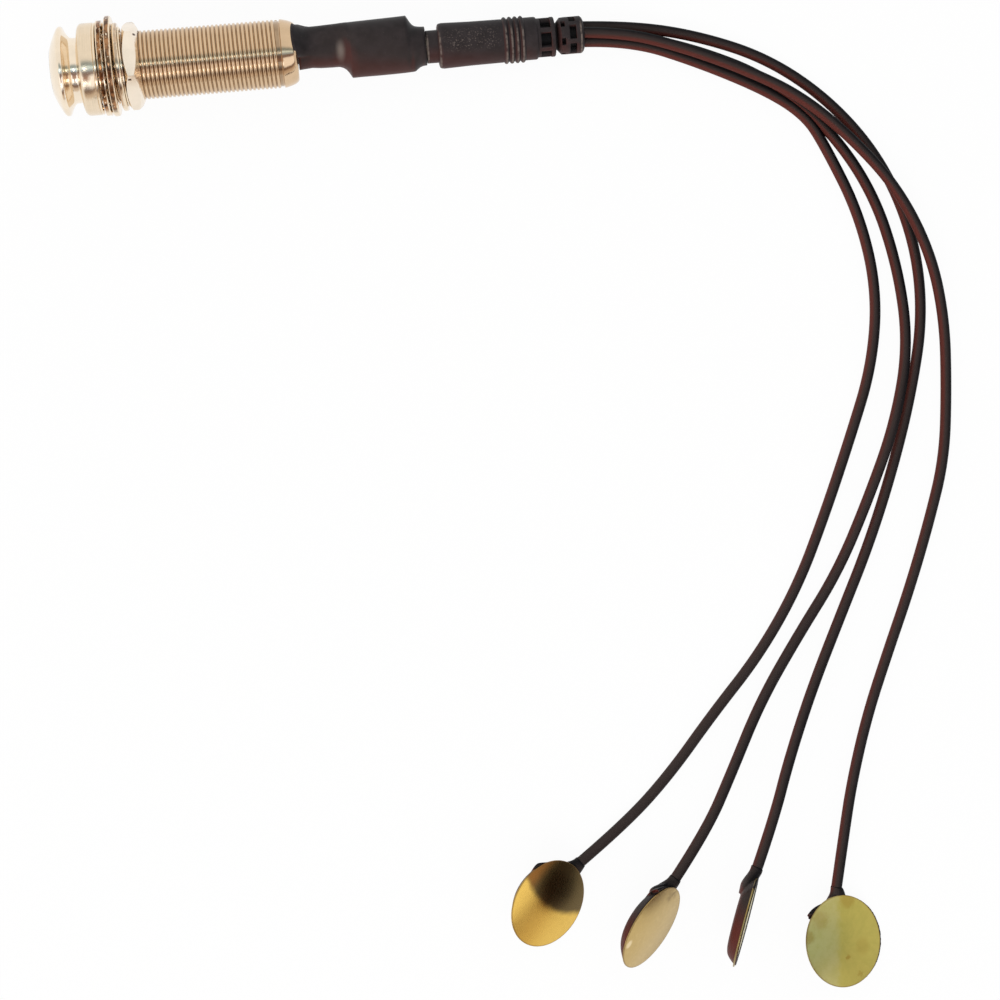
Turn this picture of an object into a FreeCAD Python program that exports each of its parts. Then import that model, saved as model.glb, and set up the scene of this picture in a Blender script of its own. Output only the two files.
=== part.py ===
import FreeCAD
import Part
import math
import os

# A stick-on piezo pickup for an acoustic guitar: an end-pin jack with its strap button and
# washers, a sleeved in-line socket with its moulded plug, and four leads to four brass discs.
# Millimetres. The jack is built along its own +X axis, from the button's face, and one placement
# tips it until the large washer and the plug's grip rest on the table at z = 0.

os.makedirs("parts", exist_ok=True)

Vec = FreeCAD.Vector
X_AXIS = Vec(1, 0, 0)
Y_AXIS = Vec(0, 1, 0)
Z_AXIS = Vec(0, 0, 1)
ORIGIN = Vec(0, 0, 0)

# Barrel: its bores and every ring round it take their width from the thread
thread_d = 12.1
spigot_step = 1.55
spigot_d = thread_d - 2 * spigot_step
plug_bore_d = 6.4
plug_bore_len = 7.0
barrel_wall = 1.45
chamber_d = thread_d - 2 * barrel_wall
barrel_tail = 38.2
plain_len = 2.4
plain_drop = 0.55
plain_round = 0.7
plain_face_drop = 1.25
barrel_back_wall = 1.4

# Strap button, collar nut and face ring
neck_step = 0.3
neck_d = thread_d - 2 * neck_step
neck_len = 1.5
flange_reach = 2.15
flange_d = neck_d + 2 * flange_reach
flange_dome = 2.05
flange_edge = 1.2
flange_round = 0.58
flange_crest = 0.6
flange_back = 0.45
cove_len = 1.05
cove_bow = 0.43
mouth_play = 0.3
button_mouth_d = plug_bore_d + 2 * mouth_play
mouth_chamfer = 0.6
button_front_wall = 1.5
collar_wall = 2.05
collar_d = thread_d + 2 * collar_wall
collar_len = 2.8
collar_edge = 0.9
ring_wall = 2.0
ring_d = thread_d + 2 * ring_wall
ring_t = 0.45

# Washers and nut, each a set distance along the thread behind the face ring
washer_clearance = 0.5
star_reach = 2.3
star_d = thread_d + 2 * star_reach
star_rim = 0.95
star_t = 0.9
star_teeth = 12
star_tooth_w = 1.1
star_twist = 16.0
star_lean = 1.0
star_gap = 0.73
large_washer_reach = 2.75
large_washer_d = thread_d + 2 * large_washer_reach
large_washer_t = 1.15
large_washer_round = 0.35
large_washer_shift = 0.25
large_washer_gap = 2.2
small_washer_reach = 1.7
small_washer_d = thread_d + 2 * small_washer_reach
small_washer_t = 0.9
small_washer_round = 0.3
small_washer_lean = 2.2
small_washer_gap = 3.58
inner_star_reach = 0.95
inner_star_d = thread_d + 2 * inner_star_reach
inner_star_rim = 0.45
inner_star_t = 0.25
inner_star_twist = 4.0
inner_star_gap = 4.22
nut_sides = 6
nut_wall = 0.95
nut_flats = thread_d + 2 * nut_wall
nut_t = 2.65
nut_gap = 4.65
nut_turn = 23.0
nut_chamfer = 30.0
nut_face_margin = 0.3

# Inside the jack
liner_wall = 0.45
liner_play = 0.05
liner_start = 3.0
rear_disc_t = 1.5
stub_d = 4.2
stub_len = 1.6
spring_w = 2.6
spring_t = 0.3
spring_len = 15.0
spring_bend = 3.2
spring_slope = 5.1
spring_clear = 1.1
spring_lift = 0.4
spring_crest = 1.4
lug_w = 1.6
lug_t = 0.4
lug_len = 1.2
lug_spread = 1.1

# In-line joint: the plug's axis lies beside the jack's
plug_shift = -1.0
socket_d = 7.0
socket_nose_d = 5.2
socket_nose_len = 4.0
socket_cap_d = 3.7
socket_cap_len = 1.1
socket_back_wall = 0.45
socket_flare = 1.1
socket_shoulder = 0.4
socket_play = 0.05
pocket_len = 5.5
pocket_w = 2.0
pocket_depth = 1.1
pocket_sink = 0.2
leaf_t = 0.25
wire_d = 0.9
wire_straight = 0.3

# 3.5 mm plug
plug_d = 3.5
plug_len = 14.0
plug_tip_len = 3.4
plug_point_len = 1.3
plug_land_end = 1.7
plug_groove_end = 2.5
plug_tip_neck_d = 2.4
plug_tip_back_d = 2.8
plug_tip_end_d = 1.0
plug_ring_len = 0.6

# Heat-shrink sleeve
sleeve_wall = 0.45
sleeve_gap = 0.05
plug_face_gap = 0.1
# station behind the barrel's end, shift to the side, half width and half height of the sleeve
sleeve_mouth = [(0.0, 0.95, 3.95, 3.3), (2.2, 0.65, 3.62, 3.05), (5.4, 0.66, 3.68, 3.0),
                (7.7, 0.6, 3.78, 3.2), (8.7, 0.48, 3.98, 3.6), (9.5, 0.1, 4.4, 4.0),
                (10.1, -0.4, 4.95, 4.4)]
sleeve_belly = [(10.1, -0.4, 4.95, 4.4), (14.9, -0.28, 4.95, 4.5), (19.0, -0.15, 4.97, 4.4)]
sleeve_nose = [(19.0, -0.15, 4.97, 4.4), (20.2, -0.66, 4.32, 3.9), (21.4, -0.87, 3.83, 3.5),
               (22.9, -0.9, 3.4, 3.3)]

# Moulded plug body: collar, grip with raised rings, step and slotted strain relief
moulding_start = 23.05
boss_d = 5.8
boss_len = 1.9
grip_front_d = 7.9
grip_back_d = 7.66
grip_len = 11.7
grip_lip = 0.45
grip_rings = 4
grip_ring_pitch = 1.0
grip_ring_d = 8.3
grip_ring_width = 0.42
grip_ring_root = 0.1
grip_ring_depth = 0.5
grip_ring_lead = 0.55
step_d = 7.56
step_len = 2.2
step_round = 0.35
relief_core_d = 4.5
relief_d = 6.8
relief_lead = 0.5
relief_slot = 1.85
relief_ring_d = 7.1
relief_ring = 0.8
relief_waist = 0.7
relief_waist_d = 4.3
relief_web = 1.0
relief_plate_count = 3
relief_turn = 20.0
notch_turn = 90.0
tail_d = 6.5
tail_notch = 1.1
tail_notch_web = 1.7
tail_band = 0.75
tail_slot = 1.2
tail_ring = 1.45
tail_round = 0.5

# Leads
lead_d = 2.0
lead_side = 1.35
lead_rise = 1.56
bend_share = 0.45

# Pickup discs
plate_d = 16.3
plate_t = 0.25
ceramic_margin = 2.65
ceramic_d = plate_d - 2 * ceramic_margin
ceramic_t = 0.2
coat_t = 1.45
coat_rim = 0.25
coat_inset = 0.15
coat_flat = 0.45
coat_bulge_out = 0.74
coat_bulge_down = 0.6
neck_reach = 1.5
neck_depth = 1.05
neck_clear = 3.0
# the neck's sections: distance out from the plate's edge, half width and half height
neck_sections = [(-3.6, 3.1, 0.85), (-1.1, 2.35, 1.0), (0.35, 1.5, 1.1)]
neck_end = (1.12, 1.1)

# Where the jack lies on the table: its button's face and its axis, seen from above
jack_x = -66.8
jack_y = 83.3

# Each disc: centre on the table, direction of its level diameter, tilt, and how far round from
# that diameter its lead leaves (degrees)
DISCS = [
    (7.23, -72.28, 62.7, 39.8, 28.0),
    (25.2, -78.03, 55.2, 60.1, 6.0),
    (41.87, -78.45, 70.0, 78.8, 8.0),
    (59.29, -84.19, 98.2, 29.05, 8.0),
]

# Each lead's first run, straight out of the strain relief
FIRST_RUNS = [8.3, 8.4, 8.3, 7.4]

# Each lead's route after that run, up to the disc's neck, which is not in the list
ROUTES = [
    [(48.55, 76.4, 1.75), (60.55, 69.2, 1.05), (69.55, 58.7, 1.05), (75.05, 45.7, 1.05),
     (77.05, 31.7, 1.05), (74.55, 18.2, 1.05), (69.55, 5.2, 1.05), (63.85, -7.8, 1.05),
     (57.55, -20.3, 1.05), (49.55, -31.8, 1.05), (40.05, -41.8, 1.05), (31.05, -51.8, 1.15),
     (22.05, -59.8, 1.3)],
    [(48.55, 78.6, 1.05), (61.05, 72.2, 1.05), (71.25, 62.2, 1.05), (78.05, 49.7, 1.05),
     (81.05, 35.7, 1.05), (81.55, 21.2, 1.65), (77.55, 7.2, 2.85), (71.55, -5.8, 2.2),
     (65.05, -18.3, 1.1), (56.55, -29.3, 1.65), (48.55, -40.3, 2.7), (42.05, -52.3, 4.2),
     (36.55, -61.8, 5.2)],
    [(48.55, 81.2, 1.8), (61.55, 75.7, 1.05), (72.55, 66.2, 1.05), (80.55, 54.2, 1.05),
     (84.55, 40.2, 1.05), (84.55, 26.2, 1.05), (81.05, 12.2, 1.05), (76.55, -0.8, 1.05),
     (71.05, -13.8, 1.05), (64.55, -26.3, 1.6), (58.05, -38.8, 3.0), (52.55, -50.8, 4.9),
     (48.55, -60.8, 6.2)],
    [(46.05, 79.0, 4.0), (56.55, 74.2, 3.6), (66.55, 68.2, 3.4), (75.05, 59.2, 3.4),
     (82.05, 49.2, 3.55), (86.55, 37.2, 3.6), (88.05, 25.2, 2.8), (87.55, 12.7, 1.45),
     (86.05, 0.2, 1.05), (82.05, -11.3, 1.05), (77.55, -22.8, 1.05), (72.55, -33.8, 1.15),
     (67.55, -44.8, 1.3), (63.55, -56.3, 1.8), (61.05, -65.3, 2.3)],
]

# Stations along the jack's axis, worked out from the sizes above
rim_x = flange_dome + flange_edge
neck_x = rim_x + cove_len
collar_x = neck_x + neck_len
ring_x = collar_x + collar_len
stack_x = ring_x + ring_t
barrel_x = button_front_wall
barrel_end = collar_x + barrel_tail
chamber_x = barrel_x + plug_bore_len
star_x = stack_x + star_gap
large_x = stack_x + large_washer_gap
inner_star_x = stack_x + inner_star_gap
small_x = stack_x + small_washer_gap
nut_x = stack_x + nut_gap
moulding_x = barrel_end + moulding_start
grip_x = moulding_x + boss_len
rings_x = grip_x + grip_len + grip_ring_lead
last_ring_x = rings_x + (grip_rings - 1) * grip_ring_pitch
step_x = last_ring_x + grip_ring_lead
relief_x = step_x + step_len
relief_slot_x = relief_x + relief_lead
relief_ring_x = relief_slot_x + relief_slot
waist_x = relief_ring_x + relief_ring
tail_x = waist_x + relief_waist
tail_band_x = tail_x + tail_notch
tail_slot_x = tail_band_x + tail_band
tail_ring_x = tail_slot_x + tail_slot
exit_x = tail_ring_x + tail_ring
plug_tip_x = moulding_x - plug_len
plug_axis = Vec(0, plug_shift, 0)

# Rest: the large washer's rear edge and the last grip ring touch the table
washer_foot_x = large_x + large_washer_t / 2 - large_washer_round
rest_slope = (large_washer_d - grip_ring_d) / 2 / (last_ring_x - washer_foot_x)
rest_tilt = math.degrees(math.atan(rest_slope))
rest_rise = (last_ring_x * math.sin(math.radians(rest_tilt))
             + grip_ring_d / 2 * math.cos(math.radians(rest_tilt)))
JACK_PLACE = FreeCAD.Placement(Vec(jack_x, jack_y, rest_rise),
                               FreeCAD.Rotation(Y_AXIS, rest_tilt))


# Shapes used by many pieces

def line(start, end):
    """A straight edge of a turned profile, between two (along, radius) points."""
    return Part.LineSegment(Vec(start[0], start[1], 0), Vec(end[0], end[1], 0)).toShape()


def arc(start, middle, end):
    """A round edge of a turned profile through three (along, radius) points."""
    points = [Vec(x, r, 0) for x, r in (start, middle, end)]
    return Part.Arc(points[0], points[1], points[2]).toShape()


def turned(edges):
    """A solid turned about the X axis from the closed profile that the edges make."""
    return Part.Face(Part.Wire(edges)).revolve(ORIGIN, X_AXIS, 360)


def turned_polygon(points):
    """A turned solid whose profile has straight sides only."""
    ends = points[1:] + points[:1]
    return turned([line(a, b) for a, b in zip(points, ends)])


def rod(x, length, d):
    """A plain cylinder along X."""
    return Part.makeCylinder(d / 2, length, Vec(x, 0, 0), X_AXIS)


def tube(x, length, outer_d, inner_d):
    """A plain tube along X."""
    return rod(x, length, outer_d).cut(rod(x, length, inner_d))


def corner_arc(before, corner, after, radius):
    """The two ends and the middle of a small round at a right-angled profile corner."""
    def toward(point):
        length = math.hypot(point[0] - corner[0], point[1] - corner[1])
        return ((point[0] - corner[0]) / length, (point[1] - corner[1]) / length)

    one = toward(before)
    two = toward(after)
    start = (corner[0] + one[0] * radius, corner[1] + one[1] * radius)
    end = (corner[0] + two[0] * radius, corner[1] + two[1] * radius)
    centre = (start[0] + two[0] * radius, start[1] + two[1] * radius)
    away = radius / math.sqrt(2)
    middle = (centre[0] - (one[0] + two[0]) * away, centre[1] - (one[1] + two[1]) * away)
    return start, middle, end


def rounded_ring(x, length, outer_d, inner_d, rounding):
    """A flat washer along X, with both corners of its rim rounded."""
    outer = outer_d / 2
    inner = inner_d / 2
    a, am, b = corner_arc((x, inner), (x, outer), (x + length, outer), rounding)
    c, cm, d = corner_arc((x, outer), (x + length, outer), (x + length, inner), rounding)
    return turned([line((x, inner), a), arc(a, am, b), line(b, c), arc(c, cm, d),
                   line(d, (x + length, inner)), line((x + length, inner), (x, inner))])


def leaned(shape, x, degrees):
    """The shape, leaned a little over about the vertical line through the axis at x."""
    copy = shape.copy()
    copy.rotate(Vec(x, 0, 0), Z_AXIS, degrees)
    return copy


# Jack

def strap_button():
    """Domed flange and waisted neck, turned in one, with a thread on the barrel's spigot."""
    rim = flange_d / 2
    neck = neck_d / 2
    mouth = button_mouth_d / 2
    bore = spigot_d / 2
    dome_edge = rim - flange_round
    dome_r = (flange_dome ** 2 + dome_edge ** 2) / 2 / flange_dome

    def dome_x(r):
        return dome_r - math.sqrt(dome_r ** 2 - r ** 2)

    lip = mouth + mouth_chamfer
    middle = (lip + dome_edge) / 2
    back = rim - flange_back
    bow = (rim_x + cove_len * cove_bow, neck + (back - neck) * cove_bow)
    edges = [
        line((dome_x(lip) + mouth_chamfer, mouth), (dome_x(lip), lip)),
        arc((dome_x(lip), lip), (dome_x(middle), middle), (flange_dome, dome_edge)),
        arc((flange_dome, dome_edge), (flange_dome + flange_crest, rim), (rim_x, back)),
        arc((rim_x, back), bow, (neck_x, neck)),
        line((neck_x, neck), (collar_x, neck)),
        line((collar_x, neck), (collar_x, bore)),
        line((collar_x, bore), (button_front_wall, bore)),
        line((button_front_wall, bore), (button_front_wall, mouth)),
        line((button_front_wall, mouth), (dome_x(lip) + mouth_chamfer, mouth)),
    ]
    return turned(edges)


def collar_nut():
    """Round nut behind the button, its front corner rounded."""
    outer = collar_d / 2
    inner = thread_d / 2
    a, middle, b = corner_arc((collar_x, inner), (collar_x, outer), (ring_x, outer), collar_edge)
    return turned([line((collar_x, inner), a), arc(a, middle, b), line(b, (ring_x, outer)),
                   line((ring_x, outer), (ring_x, inner)), line((ring_x, inner), (collar_x, inner))])


def face_ring():
    """Thin flat ring between the collar and the instrument's wood."""
    return tube(ring_x, ring_t, ring_d, thread_d)


def barrel():
    """Threaded barrel with a spigot for the button, the plug's bore and a wide chamber."""
    outer = thread_d / 2
    bore = plug_bore_d / 2
    spigot = spigot_d / 2
    chamber = chamber_d / 2
    hole = stub_d / 2
    back = barrel_end - barrel_back_wall
    a = (barrel_end - plain_round, outer - plain_drop)
    b = (barrel_end, outer - plain_face_drop)
    middle = (barrel_end - plain_round * (1 - math.sqrt(0.5)),
              outer - plain_drop - (plain_face_drop - plain_drop) * (1 - math.sqrt(0.5)))
    corners = [b, (barrel_end, hole), (back, hole), (back, chamber), (chamber_x, chamber),
               (chamber_x, bore), (barrel_x, bore), (barrel_x, spigot), (collar_x, spigot),
               (collar_x, outer), (barrel_end - plain_len, outer), a]
    edges = [line(one, two) for one, two in zip(corners[:-1], corners[1:])]
    edges.append(arc(a, middle, b))
    return turned(edges)


def star_washer(x, outer_d, rim, thickness, twist, lean):
    """Lock washer with a plain rim and a ring of twisted teeth that point inwards."""
    outer = outer_d / 2
    inner = outer - rim
    tooth_tip = thread_d / 2 + washer_clearance / 2
    washer = tube(x - thickness / 2, thickness, outer_d, inner * 2)
    tooth = Part.makeBox(thickness, star_tooth_w, inner + rim / 2 - tooth_tip,
                         Vec(x - thickness / 2, -star_tooth_w / 2, tooth_tip))
    tooth.rotate(Vec(x, 0, 0), Z_AXIS, twist)
    teeth = []
    for number in range(star_teeth):
        copy = tooth.copy()
        copy.rotate(Vec(x, 0, 0), X_AXIS, number * 360 / star_teeth)
        teeth.append(copy)
    return leaned(washer.fuse(teeth).removeSplitter(), x, lean)


def large_washer():
    """Loose flat washer, pushed to one side by its play on the thread."""
    hole = thread_d + 2 * washer_clearance
    washer = rounded_ring(large_x - large_washer_t / 2, large_washer_t, large_washer_d, hole,
                          large_washer_round)
    washer.translate(Vec(0, large_washer_shift, 0))
    return washer


def small_washer():
    """Flat washer next to the nut, leaning on the thread."""
    hole = thread_d + washer_clearance
    washer = rounded_ring(small_x - small_washer_t / 2, small_washer_t, small_washer_d, hole,
                          small_washer_round)
    return leaned(washer, small_x, small_washer_lean)


def hex_nut():
    """Six-sided nut, its corners cut back to a cone, which goes deeper on the far face."""
    corner = nut_flats / 2 / math.cos(math.pi / nut_sides)
    points = []
    for number in range(nut_sides + 1):
        angle = math.radians(90 + nut_turn + number * 360 / nut_sides)
        points.append(Vec(nut_x, corner * math.cos(angle), corner * math.sin(angle)))
    prism = Part.Face(Part.makePolygon(points)).extrude(Vec(nut_t, 0, 0))
    slope = math.tan(math.radians(nut_chamfer))
    flat = nut_flats / 2
    crown = thread_d / 2 + nut_face_margin
    cone = turned_polygon([(nut_x, 0), (nut_x, flat), (nut_x + (corner - flat) * slope, corner),
                           (nut_x + nut_t - (corner - crown) * slope, corner),
                           (nut_x + nut_t, crown), (nut_x + nut_t, 0)])
    return prism.common(cone).cut(rod(nut_x, nut_t, thread_d))


# Inside the jack

def insulating_liner():
    """Plastic tube that keeps the springs off the chamber wall."""
    start = chamber_x + liner_start
    outer = chamber_d - 2 * liner_play
    end = barrel_end - barrel_back_wall - rear_disc_t
    return tube(start, end - start, outer, outer - 2 * liner_wall)


def rear_insulator():
    """Disc that closes the chamber, with a stub through the barrel's end wall."""
    back = barrel_end - barrel_back_wall
    disc = rod(back - rear_disc_t, rear_disc_t, chamber_d)
    return disc.fuse(rod(back, barrel_back_wall + stub_len, stub_d)).removeSplitter()


def tip_spring():
    """Bent leaf that touches the plug's tip, seated on the rear insulator."""
    back = barrel_end - barrel_back_wall - rear_disc_t
    front = back - spring_len
    seat = spring_clear + liner_play + liner_wall - chamber_d / 2
    path = [(back, seat), (front + spring_slope, seat + spring_lift),
            (front + spring_bend, seat + spring_crest), (front, seat + spring_lift)]
    upper = [Vec(x, -spring_w / 2, z + spring_t) for x, z in reversed(path)]
    lower = [Vec(x, -spring_w / 2, z) for x, z in path]
    outline = Part.makePolygon(lower + upper + lower[:1])
    return Part.Face(outline).extrude(Vec(0, spring_w, 0))


def lug(side, x, length, y):
    """Flat solder lug along X. side is +1 above the axis and -1 below it."""
    return Part.makeBox(length, lug_w, lug_t, Vec(x, y - lug_w / 2, side * lug_spread - lug_t / 2))


def jack_lug(side):
    """Lug that stands out of the rear insulator's stub."""
    return lug(side, barrel_end + stub_len, lug_len, 0)


def joint_wire(side):
    """Short insulated wire from the jack's lug to the socket's lug."""
    start = barrel_end + stub_len + lug_len
    end = plug_tip_x - socket_back_wall - lug_len
    span = end - start
    z = side * lug_spread
    return bent_tube([Vec(start, 0, z), Vec(start + span * wire_straight, 0, z),
                      Vec(end - span * wire_straight, plug_shift, z), Vec(end, plug_shift, z)],
                     wire_d)


# In-line socket and plug, built on the jack's axis and moved beside it

def socket_body():
    """Moulded socket in the sleeve: a body that narrows to a nose, bored for the plug."""
    start = plug_tip_x - socket_back_wall
    end = moulding_x - plug_face_gap
    nose = end - socket_nose_len
    cap = socket_cap_d / 2
    bore = plug_d / 2 + socket_play
    body = turned_polygon([(start, 0), (start, cap), (start + socket_cap_len, cap),
                           (start + socket_cap_len + socket_flare, socket_d / 2),
                           (nose, socket_d / 2), (nose + socket_shoulder, socket_nose_d / 2),
                           (end, socket_nose_d / 2), (end, 0)])
    hollow = turned_polygon([(plug_tip_x - socket_play, 0),
                             (plug_tip_x - socket_play, plug_tip_end_d / 2 + socket_play),
                             (plug_tip_x + plug_point_len - 2 * socket_play, bore),
                             (end, bore), (end, 0)])
    pocket = Part.makeBox(pocket_len, pocket_w, pocket_depth,
                          Vec(pocket_x(), -pocket_w / 2, bore - pocket_sink))
    body = body.cut(hollow).cut(pocket)
    body.translate(plug_axis)
    return body


def pocket_x():
    """Where the socket's spring pocket starts."""
    return plug_tip_x + plug_tip_len


def socket_spring():
    """Flat leaf in the socket's pocket, against the pocket's outer wall."""
    top = plug_d / 2 + socket_play - pocket_sink + pocket_depth
    return Part.makeBox(pocket_len, pocket_w, leaf_t,
                        Vec(pocket_x(), plug_shift - pocket_w / 2, top - leaf_t))


def socket_lug(side):
    """Lug at the socket's closed end."""
    return lug(side, plug_tip_x - socket_back_wall - lug_len, lug_len, plug_shift)


def plug_tip():
    """Plug tip with its point and the groove behind it."""
    full = plug_d / 2
    x = plug_tip_x
    end = x + plug_tip_len
    tip = turned_polygon([(x, 0), (x, plug_tip_end_d / 2), (x + plug_point_len, full),
                          (x + plug_land_end, full), (x + plug_groove_end, plug_tip_neck_d / 2),
                          (end, plug_tip_back_d / 2), (end, 0)])
    tip.translate(plug_axis)
    return tip


def plug_ring():
    """Insulating ring between the plug's tip and sleeve."""
    ring = rod(plug_tip_x + plug_tip_len, plug_ring_len, plug_d)
    ring.translate(plug_axis)
    return ring


def plug_sleeve():
    """Plug's metal shaft, up to the moulding."""
    start = plug_tip_x + plug_tip_len + plug_ring_len
    sleeve = rod(start, moulding_x - start, plug_d)
    sleeve.translate(plug_axis)
    return sleeve


# Heat-shrink sleeve

def oval(station, shrink):
    """Closed elliptic wire across the axis, its half sizes less the wall given as shrink."""
    along, shift, half_width, half_height = station
    wide = half_width - shrink
    high = half_height - shrink
    centre = Vec(barrel_end + sleeve_gap + along, shift, 0)
    if wide > high:
        ellipse = Part.Ellipse(centre + Vec(0, wide, 0), centre + Vec(0, 0, high), centre)
    else:
        ellipse = Part.Ellipse(centre + Vec(0, 0, high), centre + Vec(0, wide, 0), centre)
    return Part.Wire(ellipse.toShape())


def sleeve_skin(shrink):
    """Solid inside the sleeve's outer skin, or inside its inner skin if shrink is its wall."""
    lofts = [Part.makeLoft([oval(station, shrink) for station in run], True, False)
             for run in (sleeve_mouth, sleeve_belly, sleeve_nose)]
    return lofts[0].fuse(lofts[1:])


def heat_shrink_sleeve():
    """Black sleeve shrunk over the lugs, the wires and the socket, open at both ends."""
    return sleeve_skin(0).cut(sleeve_skin(sleeve_wall))


# Moulded plug body

def grip():
    """Front boss, tapered grip with its rounded lip, and the step behind the rings."""
    boss = rod(moulding_x, boss_len, boss_d)
    front = grip_front_d / 2
    back = grip_back_d / 2
    end = step_x
    a, middle, b = corner_arc((grip_x, 0), (grip_x, front), (end, front), grip_lip)
    body = turned([line((grip_x, 0), a), arc(a, middle, b), line(b, (rings_x, back)),
                   line((rings_x, back), (end, back)), line((end, back), (end, 0)),
                   line((end, 0), (grip_x, 0))])
    c, cm, d = corner_arc((step_x, step_d / 2), (relief_x, step_d / 2), (relief_x, 0), step_round)
    step = turned([line((step_x, 0), (step_x, step_d / 2)), line((step_x, step_d / 2), c),
                   arc(c, cm, d), line(d, (relief_x, 0)), line((relief_x, 0), (step_x, 0))])
    return boss.fuse([body, step])


def grip_ring(number):
    """One raised ring of the grip, half round in section."""
    x = rings_x + number * grip_ring_pitch
    root = grip_back_d / 2 - grip_ring_root
    base = root - grip_ring_depth
    top = grip_ring_d / 2
    half = grip_ring_width
    return turned([arc((x - half, root), (x, top), (x + half, root)),
                   line((x + half, root), (x + half, base)),
                   line((x + half, base), (x - half, base)),
                   line((x - half, base), (x - half, root))])


def slotted_band(x, length, outer_d, web, plates, turn):
    """Band of windows round a core: crossed plates inside the outer size leave the webs."""
    band = rod(x, length, relief_core_d)
    for number in range(plates):
        plate = Part.makeBox(length, outer_d * 2, web, Vec(x, -outer_d, -web / 2))
        plate.rotate(ORIGIN, X_AXIS, turn + number * 180 / plates)
        band = band.fuse(plate.common(rod(x, length, outer_d)))
    return band


def strain_relief():
    """Slotted tail of the moulding: window band, ring, waist, notches, windows and end ring."""
    edge = tail_d / 2
    a, am, b = corner_arc((tail_ring_x, edge), (exit_x, edge), (exit_x, 0), tail_round)
    end_ring = turned([line((tail_ring_x, 0), (tail_ring_x, edge)), line((tail_ring_x, edge), a),
                       arc(a, am, b), line(b, (exit_x, 0)), line((exit_x, 0), (tail_ring_x, 0))])
    pieces = [
        rod(relief_x, relief_lead, relief_d),
        slotted_band(relief_slot_x, relief_slot, relief_d, relief_web, relief_plate_count,
                     relief_turn),
        rod(relief_ring_x, relief_ring, relief_ring_d),
        rod(waist_x, relief_waist, relief_waist_d),
        slotted_band(tail_x, tail_notch, tail_d, tail_notch_web, 1, notch_turn),
        rod(tail_band_x, tail_band, tail_d),
        slotted_band(tail_slot_x, tail_slot, tail_d, relief_web, relief_plate_count, 0),
        end_ring,
    ]
    return pieces[0].fuse(pieces[1:])


def plug_moulding():
    """The whole black moulding, one piece."""
    rings = [grip_ring(number) for number in range(grip_rings)]
    moulding = grip().fuse(rings).fuse(strain_relief()).removeSplitter()
    moulding.translate(plug_axis)
    return moulding


# Leads

def bent_tube(points, d):
    """Round tube along straight runs joined by tangent arcs as large as the runs allow."""
    edges = []
    here = points[0]
    length = 0.0
    radii = []
    for before, corner, after in zip(points[:-2], points[1:-1], points[2:]):
        into = corner - before
        out = after - corner
        run = min(into.Length, out.Length) * bend_share
        into.normalize()
        out.normalize()
        turn = into.getAngle(out)
        radius = run / math.tan(turn / 2)
        radii.append(radius)
        start = corner - into * run
        end = corner + out * run
        inward = out - into
        inward.normalize()
        middle = corner + inward * (radius / math.cos(turn / 2) - radius)
        edges.append(Part.LineSegment(here, start).toShape())
        edges.append(Part.Arc(start, middle, end).toShape())
        length += (start - here).Length + radius * turn
        here = end
    edges.append(Part.LineSegment(here, points[-1]).toShape())
    length += (points[-1] - here).Length
    path = Part.Wire(edges)
    first = points[1] - points[0]
    section = Part.Wire(Part.makeCircle(d / 2, points[0], first))
    solid = path.makePipeShell([section], True, False)
    expected = math.pi * d * d / 4 * length
    print("tube", round(length, 2), "mm, least radius", round(min(radii), 1),
          "mm, volume over section times length", round(solid.Volume / expected, 4))
    print("  radii", [round(radius, 1) for radius in radii])
    return solid


def lead_start(number):
    """Where a lead leaves the strain relief: the four leave in a diamond."""
    across, up = [(-lead_side, 0), (0, -lead_rise), (lead_side, 0), (0, lead_rise)][number]
    return JACK_PLACE.multVec(Vec(exit_x, plug_shift + across, up))


# Pickup discs

def disc_place(number, rise=0.0):
    """Placement of a disc: tilted about its level diameter, turned, and set down."""
    x, y, turn, tilt, _ = DISCS[number]
    turned_about_z = FreeCAD.Rotation(Z_AXIS, turn)
    tilted = FreeCAD.Rotation(X_AXIS, tilt)
    return FreeCAD.Placement(Vec(x, y, rise), turned_about_z.multiply(tilted))


def disc_plate():
    """Brass plate, its stuck-on face at z = 0."""
    return Part.makeCylinder(plate_d / 2, plate_t, Vec(0, 0, -plate_t))


def piezo_ceramic():
    """Ceramic wafer bonded behind the plate."""
    return Part.makeCylinder(ceramic_d / 2, ceramic_t, Vec(0, 0, -plate_t - ceramic_t))


def coat_dome():
    """Rubber coat behind the plate: a short rim and a low rounded back."""
    rim = plate_d / 2 - coat_inset
    flat = rim * coat_flat
    depth = plate_t + coat_t
    shoulder = plate_t + coat_rim
    bulge = (flat + (rim - flat) * coat_bulge_out,
             shoulder + (coat_t - coat_rim) * coat_bulge_down)
    points = [Vec(0, 0, -plate_t), Vec(rim, 0, -plate_t), Vec(rim, 0, -shoulder),
              Vec(bulge[0], 0, -bulge[1]), Vec(flat, 0, -depth), Vec(0, 0, -depth)]
    edges = [Part.LineSegment(points[0], points[1]).toShape(),
             Part.LineSegment(points[1], points[2]).toShape(),
             Part.Arc(points[2], points[3], points[4]).toShape(),
             Part.LineSegment(points[4], points[5]).toShape(),
             Part.LineSegment(points[5], points[0]).toShape()]
    return Part.Face(Part.Wire(edges)).revolve(ORIGIN, Z_AXIS, 360)


def neck_section(centre, half_width, half_height, facing):
    """Elliptic section of the neck: across the level diameter, then turned to its facing."""
    ellipse = Part.Ellipse(Vec(0, half_width, 0), Vec(0, 0, half_height), ORIGIN)
    section = Part.Wire(ellipse.toShape())
    section.Placement = FreeCAD.Placement(centre, FreeCAD.Rotation(X_AXIS, facing))
    return section


def neck_end_point():
    """Centre of the neck's end, before the neck is turned round the disc."""
    return Vec(plate_d / 2 + neck_reach, 0, -plate_t - neck_depth)


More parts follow.
